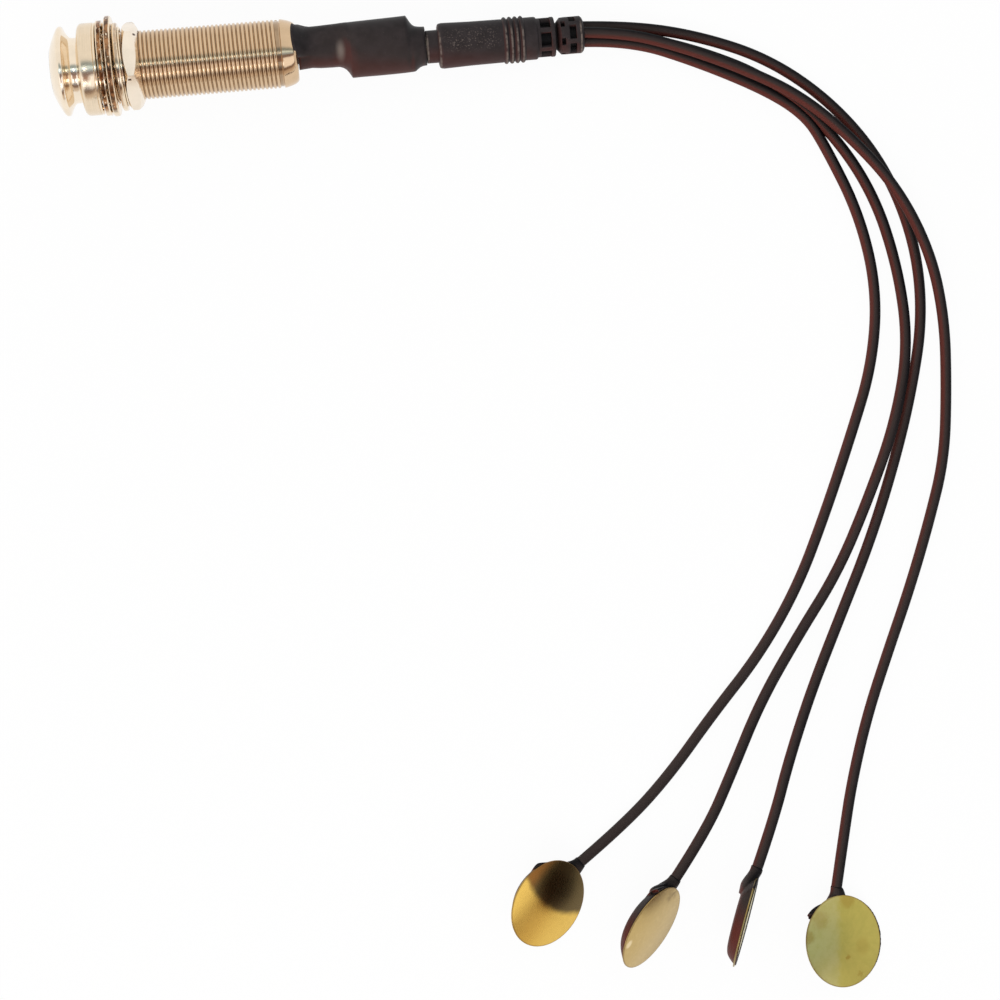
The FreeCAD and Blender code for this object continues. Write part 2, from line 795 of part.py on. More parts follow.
def coat_neck(facing):
    """Neck that narrows from the coat to the lead and bends to face it."""
    edge = plate_d / 2
    sections = [neck_section(Vec(edge + out, 0, -plate_t - neck_depth), wide, high, X_AXIS)
                for out, wide, high in neck_sections]
    sections.append(neck_section(neck_end_point(), neck_end[0], neck_end[1], facing))
    return Part.makeLoft(sections, True, False)


def disc_coat(number, rise):
    """Coat with its neck, clear of the plate and the ceramic."""
    neck_turn = DISCS[number][4]
    last = Vec(*ROUTES[number][-1])
    toward = disc_place(number).Rotation.inverted().multVec(last - lead_end(number, rise))
    facing = FreeCAD.Rotation(Z_AXIS, neck_turn).multVec(toward)
    neck = coat_neck(facing)
    neck.rotate(ORIGIN, Z_AXIS, -neck_turn)
    clear = Part.makeCylinder(plate_d / 2, neck_clear, Vec(0, 0, -plate_t))
    coat = coat_dome().fuse(neck.cut(clear))
    return coat.cut(piezo_ceramic()).removeSplitter()


def disc_rise(number):
    """How high a disc's centre lies when its plate or its coat touches the table."""
    lowest = 0.0
    for piece in (disc_plate(), coat_dome()):
        piece.Placement = disc_place(number).multiply(piece.Placement)
        lowest = min(lowest, piece.optimalBoundingBox().ZMin)
    return -lowest


def disc_pieces(number, rise):
    """Plate, ceramic and coat of one disc, where they lie."""
    pieces = [disc_plate(), piezo_ceramic(), disc_coat(number, rise)]
    for piece in pieces:
        piece.Placement = disc_place(number, rise).multiply(piece.Placement)
    return pieces


def lead_end(number, rise):
    """Where a disc's neck meets its lead."""
    turned_back = FreeCAD.Rotation(Z_AXIS, -DISCS[number][4])
    return disc_place(number, rise).multVec(turned_back.multVec(neck_end_point()))


def lead_route(number, rise):
    """Corner points of a lead, from the strain relief to the disc's neck."""
    start = lead_start(number)
    straight = JACK_PLACE.Rotation.multVec(X_AXIS) * FIRST_RUNS[number]
    corners = [Vec(*point) for point in ROUTES[number]]
    return [start, start + straight] + corners + [lead_end(number, rise)]


# Assembly

def jack_nodes():
    """Every piece on the jack's axis, by node name, before it is laid on the table."""
    return {
        "strap_button": strap_button(),
        "collar_nut": collar_nut(),
        "face_ring": face_ring(),
        "barrel": barrel(),
        "outer_star_washer": star_washer(star_x, star_d, star_rim, star_t, star_twist,
                                         star_lean),
        "large_washer": large_washer(),
        "inner_star_washer": star_washer(inner_star_x, inner_star_d, inner_star_rim,
                                         inner_star_t, inner_star_twist, small_washer_lean),
        "small_washer": small_washer(),
        "hex_nut": hex_nut(),
        "insulating_liner": insulating_liner(),
        "rear_insulator": rear_insulator(),
        "tip_spring": tip_spring(),
        "tip_lug": jack_lug(1),
        "ground_lug": jack_lug(-1),
        "hot_wire": joint_wire(1),
        "ground_wire": joint_wire(-1),
        "socket_body": socket_body(),
        "socket_spring": socket_spring(),
        "socket_tip_lug": socket_lug(1),
        "socket_ground_lug": socket_lug(-1),
        "plug_tip": plug_tip(),
        "plug_ring": plug_ring(),
        "plug_sleeve": plug_sleeve(),
        "heat_shrink_sleeve": heat_shrink_sleeve(),
        "plug_moulding": plug_moulding(),
    }


def all_nodes():
    """Every piece of the pickup where it lies."""
    nodes = {}
    for name, shape in jack_nodes().items():
        shape.Placement = JACK_PLACE.multiply(shape.Placement)
        nodes[name] = shape
    for number in range(len(DISCS)):
        rise = disc_rise(number)
        suffix = str(number + 1)
        pieces = disc_pieces(number, rise)
        for name, piece in zip(("disc_plate_", "piezo_ceramic_", "disc_coat_"), pieces):
            nodes[name + suffix] = piece
        route = lead_route(number, rise)
        print("lead", suffix, "from", route[0], "by", route[1], "to", route[-1], "rise", rise)
        nodes["lead_" + suffix] = bent_tube(route, lead_d)
    return nodes


for name, shape in all_nodes().items():
    shape.exportStep("parts/" + name + ".step")
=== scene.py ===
import math

import bmesh
import bpy
from mathutils import Matrix, Vector


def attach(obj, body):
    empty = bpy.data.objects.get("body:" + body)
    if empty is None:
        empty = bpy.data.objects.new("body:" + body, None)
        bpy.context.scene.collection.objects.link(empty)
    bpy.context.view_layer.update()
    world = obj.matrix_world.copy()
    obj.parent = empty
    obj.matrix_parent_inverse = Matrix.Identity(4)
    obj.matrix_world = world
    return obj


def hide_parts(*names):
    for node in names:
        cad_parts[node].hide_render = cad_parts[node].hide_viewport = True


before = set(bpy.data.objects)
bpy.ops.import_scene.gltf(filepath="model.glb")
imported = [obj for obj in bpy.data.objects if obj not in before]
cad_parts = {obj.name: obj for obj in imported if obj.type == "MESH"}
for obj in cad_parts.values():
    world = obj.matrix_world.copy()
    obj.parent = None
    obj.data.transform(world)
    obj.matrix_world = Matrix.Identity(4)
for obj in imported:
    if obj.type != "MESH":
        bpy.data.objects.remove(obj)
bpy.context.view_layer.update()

bl_info = {
    "name": "Piezo pickup",
    "version": (1, 0, 0),
    "blender": (4, 5, 0),
    "location": "View3D > Sidebar > Pickup",
    "description": "Builds a stick-on piezo pickup: an end-pin jack, its in-line plug and four discs",
    "category": "Add Mesh",
}

MM = 0.001
FULL_TURN = math.tau
DEGREES_PER_RADIAN = 57.2958

# Stations along the jack's axis, in millimetres from the strap button's face
SPIGOT_X = 1.5
NECK_X = 4.3
COLLAR_X = 5.8
CHAMBER_X = 8.5
RING_X = 8.6
STACK_X = 9.05
THREAD_START = 9.2
LARGE_WASHER_X = 11.25
SMALL_WASHER_X = 12.63
THREAD_END = 41.2
CHAMBER_END = 42.6
BARREL_END = 44.0
MOULDING_X = 67.05
GRIP_X = 69.15
RINGS_X = 81.2
STEP_X = 84.75
RELIEF_X = 86.95
RELIEF_SLOT_X = 87.45
RELIEF_RING_X = 89.3
TAIL_X = 91.15
TAIL_BAND_X = 91.9
TAIL_SLOT_X = 92.65
TAIL_RING_X = 93.85
EXIT_X = 95.3

# Where the jack lies: its axis, tipped so that the large washer and the grip touch the table
JACK_AT = Vector((-0.0668, 0.0833, 0.009514277))
JACK_TILT = math.radians(3.658483)
JACK = (Matrix.Translation(JACK_AT) @ Matrix.Rotation(JACK_TILT, 4, "Y")
        @ Matrix.Scale(MM, 4))
# The plug's moulding sits a little off the jack's axis
PLUG = JACK @ Matrix.Translation((0, -1.0, 0))
# The table's own frame, in millimetres
TABLE = Matrix.Scale(MM, 4)

DISC_R = 8.15
DISC_T = 0.25

# Each disc: centre on the table and its height (mm), direction of its level diameter, tilt
DISCS = [
    (7.23, -72.28, 5.505019, 62.7, 39.8),
    (25.2, -78.03, 7.189830, 55.2, 60.1),
    (41.87, -78.45, 8.043343, 70.0, 80.0),
    (59.29, -84.19, 4.407601, 98.2, 29.05),
]

# Stains on the pale discs: place in the disc's plane, size and strength
STAINS = [(-2.96, -0.1, 0.7, 0.8), (-6.6, -1.8, 0.7, 0.5), (6.9, -3.0, 2.2, 0.6),
          (2.7, 7.3, 1.8, 0.6), (5.0, 3.8, 2.2, 0.4)]

# How each coat differs from its solid: its depth's ratio, its neck's shift along X, its lean
COATS = [(1.6, 0.36, 0.0), (1.5, 0.19, 0.0), (1.2, 0.8, 1.2), (1.25, 0.74, 0.0)]

# Each lead's route in millimetres, from the strain relief to its disc's neck
LEADS = [
    [(28.3058, 80.95, 3.4333), (36.5889, 80.5, 2.9036), (48.55, 75.7, 1.75), (60.7, 69.4, 1.05),
     (67.1, 64.3, 1.05), (70.0, 58.7, 1.05), (75.05, 45.7, 1.05), (76.95, 31.7, 1.05),
     (74.75, 18.2, 1.05), (69.4, 5.2, 1.05), (63.65, -7.8, 1.05), (57.55, -20.3, 1.05),
     (49.55, -31.8, 1.05), (40.05, -41.8, 1.05), (31.35, -51.8, 1.15), (22.65, -59.8, 1.3),
     (13.85, -65.95, 1.6063)],
    [(28.2062, 82.3, 1.8764), (36.5891, 81.8, 1.3404), (48.55, 78.0, 1.05), (60.75, 71.9, 1.05),
     (70.8, 62.0, 1.05), (77.8, 49.7, 1.05), (81.05, 35.7, 1.05), (81.55, 21.2, 1.65),
     (77.55, 7.2, 2.85), (71.55, -5.8, 2.2), (65.05, -18.3, 1.1), (56.55, -29.3, 1.65),
     (48.65, -40.3, 2.7), (42.15, -52.3, 4.2), (36.8, -61.8, 5.2), (30.35, -69.7931, 5.6674)],
    [(28.3058, 83.65, 3.4333), (36.5889, 83.1, 2.9036), (48.55, 80.5, 1.8), (61.35, 75.2, 1.05),
     (72.25, 66.0, 1.05), (80.3, 54.2, 1.05), (84.55, 40.2, 1.05), (84.75, 26.2, 1.05),
     (81.2, 12.2, 1.05), (76.65, -0.8, 1.05), (71.15, -13.8, 1.05), (64.65, -26.3, 1.6),
     (58.1, -38.8, 3.0), (52.6, -50.8, 4.9), (48.8, -60.8, 6.2), (45.0, -69.1233, 6.4734)],
    [(28.4053, 82.3, 4.9901), (35.7903, 81.7, 4.5179), (46.05, 78.1, 4.0), (56.55, 73.3, 3.6),
     (66.35, 67.5, 3.4), (74.8, 59.0, 3.4), (82.05, 49.2, 3.55), (86.75, 37.2, 3.6),
     (88.25, 25.2, 2.8), (87.65, 12.7, 1.45), (86.15, 0.2, 1.05), (82.15, -11.3, 1.05),
     (77.55, -22.8, 1.05), (72.55, -33.8, 1.15), (67.75, -44.8, 1.3), (63.85, -56.3, 1.8),
     (61.5, -65.3, 2.3), (59.2, -74.6542, 2.619)],
]

# The sleeve: station, its side edges towards +Y and -Y, half height and squareness of its section
SLEEVE = [
    (44.15, 4.95, -3.16, 3.30, 2.0), (44.6, 4.88, -3.13, 3.25, 2.0), (45.7, 4.50, -3.04, 3.10, 2.0),
    (46.5, 4.32, -2.96, 3.00, 2.1), (48.0, 4.34, -3.12, 2.95, 2.2), (50.0, 4.41, -3.16, 2.95, 2.3),
    (51.3, 4.46, -3.16, 3.05, 2.3), (52.0, 4.50, -3.40, 3.25, 2.3), (52.5, 4.53, -3.78, 3.50, 2.2),
    (52.9, 4.55, -4.30, 3.75, 2.1), (53.2, 4.56, -4.80, 3.95, 2.0), (53.45, 4.57, -5.30, 4.10, 1.9),
    (53.6, 4.58, -5.34, 4.20, 1.9), (55.0, 4.62, -5.31, 4.45, 1.9), (58.0, 4.70, -5.31, 4.55, 1.9),
    (61.0, 4.79, -5.28, 4.50, 1.9), (63.2, 4.87, -5.22, 4.30, 1.9), (63.7, 4.90, -5.20, 4.20, 1.9),
    (63.85, 4.75, -5.19, 4.10, 1.9), (64.2, 4.12, -5.17, 3.95, 1.9), (64.45, 3.65, -5.16, 3.90, 1.9),
    (64.8, 3.18, -5.10, 3.85, 1.9), (65.2, 2.88, -4.78, 3.75, 2.0), (65.7, 2.76, -4.42, 3.60, 2.0),
    (66.3, 2.69, -4.24, 3.45, 2.0), (66.9, 2.66, -4.20, 3.30, 2.0),
]


# Sizes and colours a user would change

class PickupSettings(bpy.types.PropertyGroup):
    """Sizes and colours of the pickup."""
    thread_diameter: bpy.props.FloatProperty(
        name="Thread diameter", description="Across the crests of the barrel's thread",
        default=12.1 * MM, min=0.001, unit="LENGTH")
    thread_pitch: bpy.props.FloatProperty(
        name="Thread pitch", description="From one crest of the barrel's thread to the next",
        default=0.75 * MM, min=0.0002, unit="LENGTH")
    lead_diameter: bpy.props.FloatProperty(
        name="Lead diameter", description="Across one of the four leads",
        default=2.0 * MM, min=0.0005, unit="LENGTH")
    nickel: bpy.props.FloatVectorProperty(
        name="Nickel", description="Colour of the polished plating",
        default=(0.89, 0.735, 0.545), min=0, max=1, subtype="COLOR")
    brass: bpy.props.FloatVectorProperty(
        name="Brass", description="Colour of the discs where they are clean",
        default=(0.80, 0.52, 0.115), min=0, max=1, subtype="COLOR")
    sleeve: bpy.props.FloatVectorProperty(
        name="Sleeve", description="Colour of the heat-shrink sleeve",
        default=(0.0185, 0.0145, 0.0150), min=0, max=1, subtype="COLOR")
    moulding: bpy.props.FloatVectorProperty(
        name="Moulding", description="Colour of the plug's moulded body",
        default=(0.0180, 0.0145, 0.0155), min=0, max=1, subtype="COLOR")
    lead: bpy.props.FloatVectorProperty(
        name="Leads", description="Colour of the leads",
        default=(0.0075, 0.0062, 0.0072), min=0, max=1, subtype="COLOR")


# Shader graphs written as expressions

class Wire:
    """A socket's output. Adding, taking or multiplying puts in the Math node that does it."""

    def __init__(self, graph, socket):
        self.graph = graph
        self.socket = socket

    def _math(self, operation, first, second=0.0):
        return self.graph.node("ShaderNodeMath", {"operation": operation},
                               {0: first, 1: second})

    def __add__(self, other):
        return self._math("ADD", self, other)

    def __sub__(self, other):
        return self._math("SUBTRACT", self, other)

    def __rsub__(self, other):
        return self._math("SUBTRACT", other, self)

    def __mul__(self, other):
        return self._math("MULTIPLY", self, other)

    def __truediv__(self, other):
        return self._math("DIVIDE", self, other)

    def __rtruediv__(self, other):
        return self._math("DIVIDE", other, self)

    def __pow__(self, other):
        return self._math("POWER", self, other)

    def least(self, other):
        return self._math("MINIMUM", self, other)

    def most(self, other):
        return self._math("MAXIMUM", self, other)

    def root(self):
        return self._math("SQRT", self)

    def magnitude(self):
        return self._math("ABSOLUTE", self)

    def rises(self, low, high):
        """0 below low, 1 above high, smooth between."""
        return self.graph.node("ShaderNodeMapRange", {"interpolation_type": "SMOOTHSTEP"},
                               {0: self, 1: low, 2: high, 3: 0.0, 4: 1.0})

    def within(self, low, high, soft):
        """1 between low and high, with a smooth edge of the given width."""
        return self.rises(low - soft, low + soft) * (1 - self.rises(high - soft, high + soft))

    __radd__ = __add__
    __rmul__ = __mul__


class Graph:
    """A node tree under construction, with one method that makes any node."""

    def __init__(self, tree):
        self.tree = tree
        tree.nodes.clear()

    def node(self, kind, settings=None, inputs=None, output=0):
        """Makes a node: its settings first, then the values or links of its sockets."""
        made = self.tree.nodes.new(kind)
        for key, value in (settings or {}).items():
            if key == "stops":
                self._stops(made.color_ramp, value)
            else:
                setattr(made, key, value)
        for key, value in (inputs or {}).items():
            if isinstance(value, Wire):
                self.tree.links.new(value.socket, made.inputs[key])
            else:
                made.inputs[key].default_value = value
        if output is None:
            return made
        return Wire(self, made.outputs[output])

    @staticmethod
    def _stops(ramp, stops):
        elements = ramp.elements
        while len(elements) < len(stops):
            elements.new(1.0)
        for element, (position, colour) in zip(elements, stops):
            element.position = position
            element.color = (*colour, 1.0)

    def place(self, matrix):
        """Object coordinates in a piece's own frame, in millimetres."""
        location, rotation, scale = matrix.decompose()
        coords = self.node("ShaderNodeTexCoord", output="Object")
        return self.node("ShaderNodeMapping", {"vector_type": "TEXTURE"},
                         {"Vector": coords, "Location": location,
                          "Rotation": rotation.to_euler(), "Scale": scale})

    def split(self, vector):
        made = self.node("ShaderNodeSeparateXYZ", None, {0: vector}, None)
        return [Wire(self, made.outputs[axis]) for axis in range(3)]

    def stretch(self, vector, scale):
        return self.node("ShaderNodeVectorMath", {"operation": "MULTIPLY"},
                         {0: vector, 1: scale})

    def noise(self, vector, scale, detail=3.0, rough=0.55):
        return self.node("ShaderNodeTexNoise", None,
                         {"Vector": vector, "Scale": scale, "Detail": detail,
                          "Roughness": rough})

    def blend(self, factor, first, second, how="MIX"):
        """Mixes two colours."""
        return self.node("ShaderNodeMix", {"data_type": "RGBA", "blend_type": how},
                         {0: factor, 6: rgba(first), 7: rgba(second)}, 2)

    def bump(self, height, strength, distance, onto=None):
        inputs = {"Height": height, "Strength": strength, "Distance": distance}
        if onto is not None:
            inputs["Normal"] = onto
        return self.node("ShaderNodeBump", None, inputs)


def rgba(colour):
    """A colour with its alpha, or the wire as it is."""
    if isinstance(colour, Wire):
        return colour
    return (colour[0], colour[1], colour[2], 1.0)


def surface(name, build):
    """A material whose shader sockets come from build(graph)."""
    material = bpy.data.materials.new(name)
    material.use_nodes = True
    graph = Graph(material.node_tree)
    shader = graph.node("ShaderNodeBsdfPrincipled", None, build(graph))
    graph.node("ShaderNodeOutputMaterial", None, {"Surface": shader}, None)
    return material


# Materials

# Colours laid on the finishes: dust, nicks and a brown rim; painted warm light, painted highlights and
# painted shade; the room's white
NICK_AND_SHADE_BROWN = (0.10, 0.052, 0.028)
DUST = (0.10, 0.085, 0.08)
WARM_LIGHT_SOFT = (0.048, 0.034, 0.030)
WARM_LIGHT_STRONG = (0.100, 0.025, 0.019)
SHADED_SIDE_BLACK = (0.0012, 0.0012, 0.0022)
HIGHLIGHT_AND_DUST = (0.17, 0.135, 0.115)
SLOT_SHADE = (0.002, 0.0018, 0.002)
BROWN_RIM = (0.22, 0.13, 0.05)
WHITE_ROOM = (0.97, 0.96, 0.94)


def darker(colour, share):
    """A colour with each channel lowered, or raised where the share is over 1."""
    return tuple(c * share for c in colour)


def distance(x, y, across, up):
    """How far a place (x, y) is from a point of its plane."""
    dx = x - across
    dy = y - up
    return (dx * dx + dy * dy).root()


def nickel_plate(name, matrix, colour, rough=0.1, lines=0.0, nicks_and_shade=None):
    """Polished or brushed nickel. Lines run round the axis.

    The last argument, given (graph, x, radius, here), masks the places laid in dark brown: nicks, and
    painted shade in the thread's roots."""
    def build(g):
        here = g.place(matrix)
        x, y, z = g.split(here)
        radius = (y * y + z * z).root()
        cloud = g.noise(here, 0.35, 4.0)
        streak = g.noise(g.stretch(here, (16.0, 0.12, 0.12)), 1.0, 4.0, 0.7)
        tint = g.blend(cloud.rises(0.35, 0.7) * 0.35, colour, darker(colour, 0.8))
        tint = g.blend(streak.rises(0.35, 0.75) * min(1.0, lines * 0.5), tint, darker(colour, 0.72))
        # Dark brown: the nut's nicks, and painted shade in the barrel thread's roots
        if nicks_and_shade is not None:
            tint = g.blend(nicks_and_shade(g, x, radius, here), tint, NICK_AND_SHADE_BROWN)
        spots = g.noise(here, 5.0, 3.0).rises(0.62, 0.72)
        return {"Base Color": tint, "Metallic": 1.0,
                "Roughness": streak * (0.22 * lines) + spots * 0.06 + rough,
                "Normal": g.bump(streak, 0.35 * lines, 0.05 * MM)}
    return surface(name, build)


def black_plastic(name, matrix, colour, rough, grain, specular, highlights_and_dust=None, warm=0.0, deep=None):
    """Black sleeve, moulding, rubber or jacket: grain, dust specks, painted light and shade.

    Where warm is set, the side facing -X and -Y gets a painted warm brown light, the other side
    painted shade. Two optional masks, given (graph, x, y, radius, here) and (x, radius), lay painted
    highlights with pale dust on the moulding, and painted shade in the slots' depths."""
    def build(g):
        here = g.place(matrix)
        x, y, z = g.split(here)
        radius = (y * y + z * z).root()
        cloud = g.noise(here, 0.5, 5.0)
        fine = g.noise(here, grain, 4.0, 0.6)
        specks = g.noise(here, 3.1, 2.0, 0.4).rises(0.70, 0.76)
        tint = g.blend(cloud.rises(0.3, 0.75), colour, darker(colour, 1.7))
        tint = g.blend(specks * 0.35, tint, DUST)
        # Painted light: a warm brown glow on the side facing -X and -Y, and painted shade, a colder
        # black, on the other side
        if warm:
            nx, ny, nz = g.split(g.node("ShaderNodeTexCoord", output="Normal"))
            side = nx * -0.85 + ny * -0.55
            tint = g.blend(side.rises(-0.55, 0.25) * warm * 0.8, tint, WARM_LIGHT_SOFT)
            tint = g.blend(side.rises(0.1, 0.6) * warm, tint, WARM_LIGHT_STRONG)
            tint = g.blend((0 - side).rises(0.2, 0.7) * warm * 0.9, tint, SHADED_SIDE_BLACK)
        # Painted highlights, and pale dust on the moulding
        if highlights_and_dust is not None:
            tint = g.blend(highlights_and_dust(g, x, y, radius, here), tint, HIGHLIGHT_AND_DUST)
        # Painted shade in the slots' depths
        if deep is not None:
            tint = g.blend(deep(x, radius), tint, SLOT_SHADE)
        return {"Base Color": tint, "Metallic": 0.0, "Specular IOR Level": specular,
                "Roughness": cloud * 0.16 + rough + specks * 0.15,
                "Normal": g.bump(fine, 0.25, 0.05 * MM)}
    return surface(name, build)


def disc_brass(name, matrix, colour, patina_and_painted_light, rough):
    """Rolled brass: the fourth argument, given (graph, x, y, here), gives masks and the colours that
    they lay on: tarnish and stains, and painted reflections and highlights.
    """
    def build(g):
        here = g.place(matrix)
        x, y, _ = g.split(here)
        cloud = g.noise(here, 0.22, 4.0)
        mottle = g.noise(here, 1.1, 5.0, 0.65)
        rolled = g.noise(g.stretch(here, (0.25, 6.0, 6.0)), 1.0, 3.0)
        tint = g.blend(mottle.rises(0.35, 0.75) * 0.4, colour, darker(colour, 0.84))
        for mask, shade in patina_and_painted_light(g, x, y, here):
            tint = g.blend(mask, tint, shade)
        edge = (x * x + y * y).root().rises(7.85, 8.1)
        tint = g.blend(edge * 0.6, tint, BROWN_RIM)
        return {"Base Color": tint, "Metallic": 1.0,
                "Roughness": cloud * 0.12 + rolled * 0.08 + rough,
                "Normal": g.bump(rolled, 0.06, 0.03 * MM)}
    return surface(name, build)


def plain_stuff(name, colour, metallic, rough):
    """Finish for the pieces that are held inside: a little cloud in colour and gloss."""
    def build(g):
        here = g.place(JACK)
        cloud = g.noise(here, 1.2, 3.0)
        return {"Base Color": g.blend(cloud, colour, darker(colour, 0.8)),
                "Metallic": metallic, "Roughness": cloud * 0.15 + rough}
    return surface(name, build)


# Mesh helpers

def clamped(value):
    """The value, held between 0 and 1."""
    return min(1.0, max(0.0, value))


def profile_loop(bm, points, closed=True):
    """Vertices and edges of an outline given as (along, radius) pairs."""
    verts = [bm.verts.new((x, r, 0)) for x, r in points]
    edges = [bm.edges.new(pair) for pair in zip(verts, verts[1:])]
    if closed:
        edges.append(bm.edges.new((verts[-1], verts[0])))
    return verts + edges


def turned(points, steps=96):
    """A bmesh turned about the X axis from a closed outline."""
    bm = bmesh.new()
    bmesh.ops.spin(bm, geom=profile_loop(bm, points), cent=(0, 0, 0), axis=(1, 0, 0),
                   angle=FULL_TURN, steps=steps, use_merge=True)
    bmesh.ops.remove_doubles(bm, verts=bm.verts, dist=1e-5)
    bmesh.ops.recalc_face_normals(bm, faces=bm.faces)
    return bm


def soften(bm, width, segments=2, angle=35.0):
    """Bevels every edge whose faces turn by more than the angle."""
    limit = math.radians(angle)
    sharp = [e for e in bm.edges if len(e.link_faces) == 2 and e.calc_face_angle() > limit]
    bmesh.ops.bevel(bm, geom=sharp, offset=width, segments=segments, profile=0.5,
                    affect="EDGES", clamp_overlap=True, material=-1)


def to_object(bm, name, matrix, sharp=50.0):
    """Turns a finished bmesh into an object at the origin, smooth but for its sharp edges."""
    bmesh.ops.transform(bm, matrix=matrix, verts=bm.verts)
    bmesh.ops.recalc_face_normals(bm, faces=bm.faces)
    limit = math.radians(sharp)
    for face in bm.faces:
        face.smooth = True
    for edge in bm.edges:
        edge.smooth = len(edge.link_faces) != 2 or edge.calc_face_angle() < limit
    mesh = bpy.data.meshes.new(name)
    bm.to_mesh(mesh)
    bm.free()
    made = bpy.data.objects.new(name, mesh)
    bpy.context.scene.collection.objects.link(made)
    return made


def node_copy(node):
    """A bmesh of a CAD node's shape, its loose triangles merged."""
    bm = bmesh.new()
    bm.from_mesh(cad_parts[node].data)
    bmesh.ops.remove_doubles(bm, verts=bm.verts, dist=1e-7)
    bmesh.ops.recalc_face_normals(bm, faces=bm.faces)
    return bm


def stands_for(made, node, material):
    """Gives a piece its finish and puts it in a CAD node's place."""
    made.data.materials.clear()
    made.data.materials.append(material)
    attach(made, "root")
    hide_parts(node)
    return made


def dress(node, material):
    """Gives a CAD node that stays its finish."""
    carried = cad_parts[node]
    for place in carried.material_slots:
        place.material = material
    if not carried.material_slots:
        carried.data.materials.append(material)


def apply_modifiers(made):
    """Bakes a piece's modifiers into its mesh."""
    depsgraph = bpy.context.evaluated_depsgraph_get()
    baked = bpy.data.meshes.new_from_object(made.evaluated_get(depsgraph))
    made.modifiers.clear()
    made.data = baked


# Pieces

class PICKUP_OT_camera(bpy.types.Operator):
    """Sets the camera above the pickup, as in the photograph"""
    bl_idname = "pickup.camera"
    bl_label = "Camera"

    def execute(self, context):
        lens = bpy.data.cameras.new("camera")
        lens.sensor_fit = "HORIZONTAL"
        lens.sensor_width = 36.0
        lens.lens = 83.45
        lens.clip_start = 0.01
        lens.clip_end = 20.0
        camera = bpy.data.objects.new("camera", lens)
        camera.location = (5.5 * MM, 0.4 * MM, 420 * MM)
        camera.rotation_euler = (0, 0, math.radians(-5.47))
        context.scene.collection.objects.link(camera)
        context.scene.camera = camera
        return {"FINISHED"}


class PICKUP_OT_leads(bpy.types.Operator):
    """Lays the four leads from the strain relief to the discs"""
    bl_idname = "pickup.leads"
    bl_label = "Leads"

    def execute(self, context):
        sizes = context.scene.pickup
        jacket = black_plastic("lead_jacket", TABLE, sizes.lead, 0.34, 2.5, 0.06,
                               warm=1.0)
        for number, route in enumerate(LEADS, 1):
            curve = bpy.data.curves.new(f"lead_cord_{number}", "CURVE")
            curve.dimensions = "3D"
            curve.resolution_u = 16
            curve.bevel_depth = sizes.lead_diameter / 2
            curve.bevel_resolution = 5
            curve.use_fill_caps = True
            spline = curve.splines.new("NURBS")
            spline.points.add(len(route) - 1)
            for point, (x, y, z) in zip(spline.points, route):
                point.co = (x * MM, y * MM, z * MM, 1.0)
            spline.order_u = 3
            spline.use_endpoint_u = True
            lead = bpy.data.objects.new(f"lead_cord_{number}", curve)
            context.scene.collection.objects.link(lead)
            stands_for(lead, f"lead_{number}", jacket)
        return {"FINISHED"}


class PICKUP_OT_strap_button(bpy.types.Operator):
    """Turns the strap button: domed flange, waisted neck and the plug's mouth"""
    bl_idname = "pickup.strap_button"
    bl_label = "Strap button"

    def execute(self, context):
        dome_r = 14.09
        dome = [(dome_r - math.sqrt(dome_r ** 2 - r ** 2), r)
                for r in (4.1, 4.7, 5.3, 5.9, 6.5, 7.0, 7.3)]
        rim = [(2.2, 7.55), (2.4, 7.75), (2.65, 7.87), (2.9, 7.85), (3.12, 7.70), (3.27, 7.42),
               (3.4, 7.10), (3.58, 6.72), (3.8, 6.38), (4.02, 6.08)]
        neck = [(NECK_X, 5.80), (4.6, 5.74), (5.0, 5.74), (5.4, 5.76), (5.62, 5.86),
                (5.74, 6.02), (COLLAR_X, 6.25)]
        inside = [(COLLAR_X, 4.52), (SPIGOT_X, 4.52), (SPIGOT_X, 3.5), (1.2, 3.5), (0.85, 3.62),
                  (0.62, 3.86)]
        button = to_object(turned(dome + rim + neck + inside), "domed_strap_button", JACK)
        pale = (0.93, 0.80, 0.635)
        plate = nickel_plate("polished_button", JACK, pale, 0.10)
        stands_for(button, "strap_button", plate)
        return {"FINISHED"}


class PICKUP_OT_collar(bpy.types.Operator):
    """Turns the brushed collar nut and the thin face ring behind it"""
    bl_idname = "pickup.collar"
    bl_label = "Collar and face ring"

    def execute(self, context):
        colour = context.scene.pickup.nickel
        bore = 6.06
        ring_r = 8.05
        corner = [(COLLAR_X + 0.9 - 0.9 * math.cos(a), 7.2 + 0.9 * math.sin(a))
                  for a in (0.0, 0.25, 0.5, 0.75, 1.0, 1.25, math.pi / 2)]
        bm = turned([(COLLAR_X, bore)] + corner + [(8.48, 8.1), (RING_X, 7.98), (RING_X, bore)])
        collar = to_object(bm, "brushed_collar", JACK)
        stands_for(collar, "collar_nut",
                   nickel_plate("brushed_collar", JACK, darker(colour, 0.97), 0.06, 0.8))
        bm = turned([(RING_X, bore), (RING_X, ring_r), (STACK_X, ring_r), (STACK_X, bore)])
        soften(bm, 0.12, 3)
        ring = to_object(bm, "thin_face_ring", JACK)
        stands_for(ring, "face_ring",
                   nickel_plate("face_ring_plate", JACK, colour, 0.1))
        return {"FINISHED"}


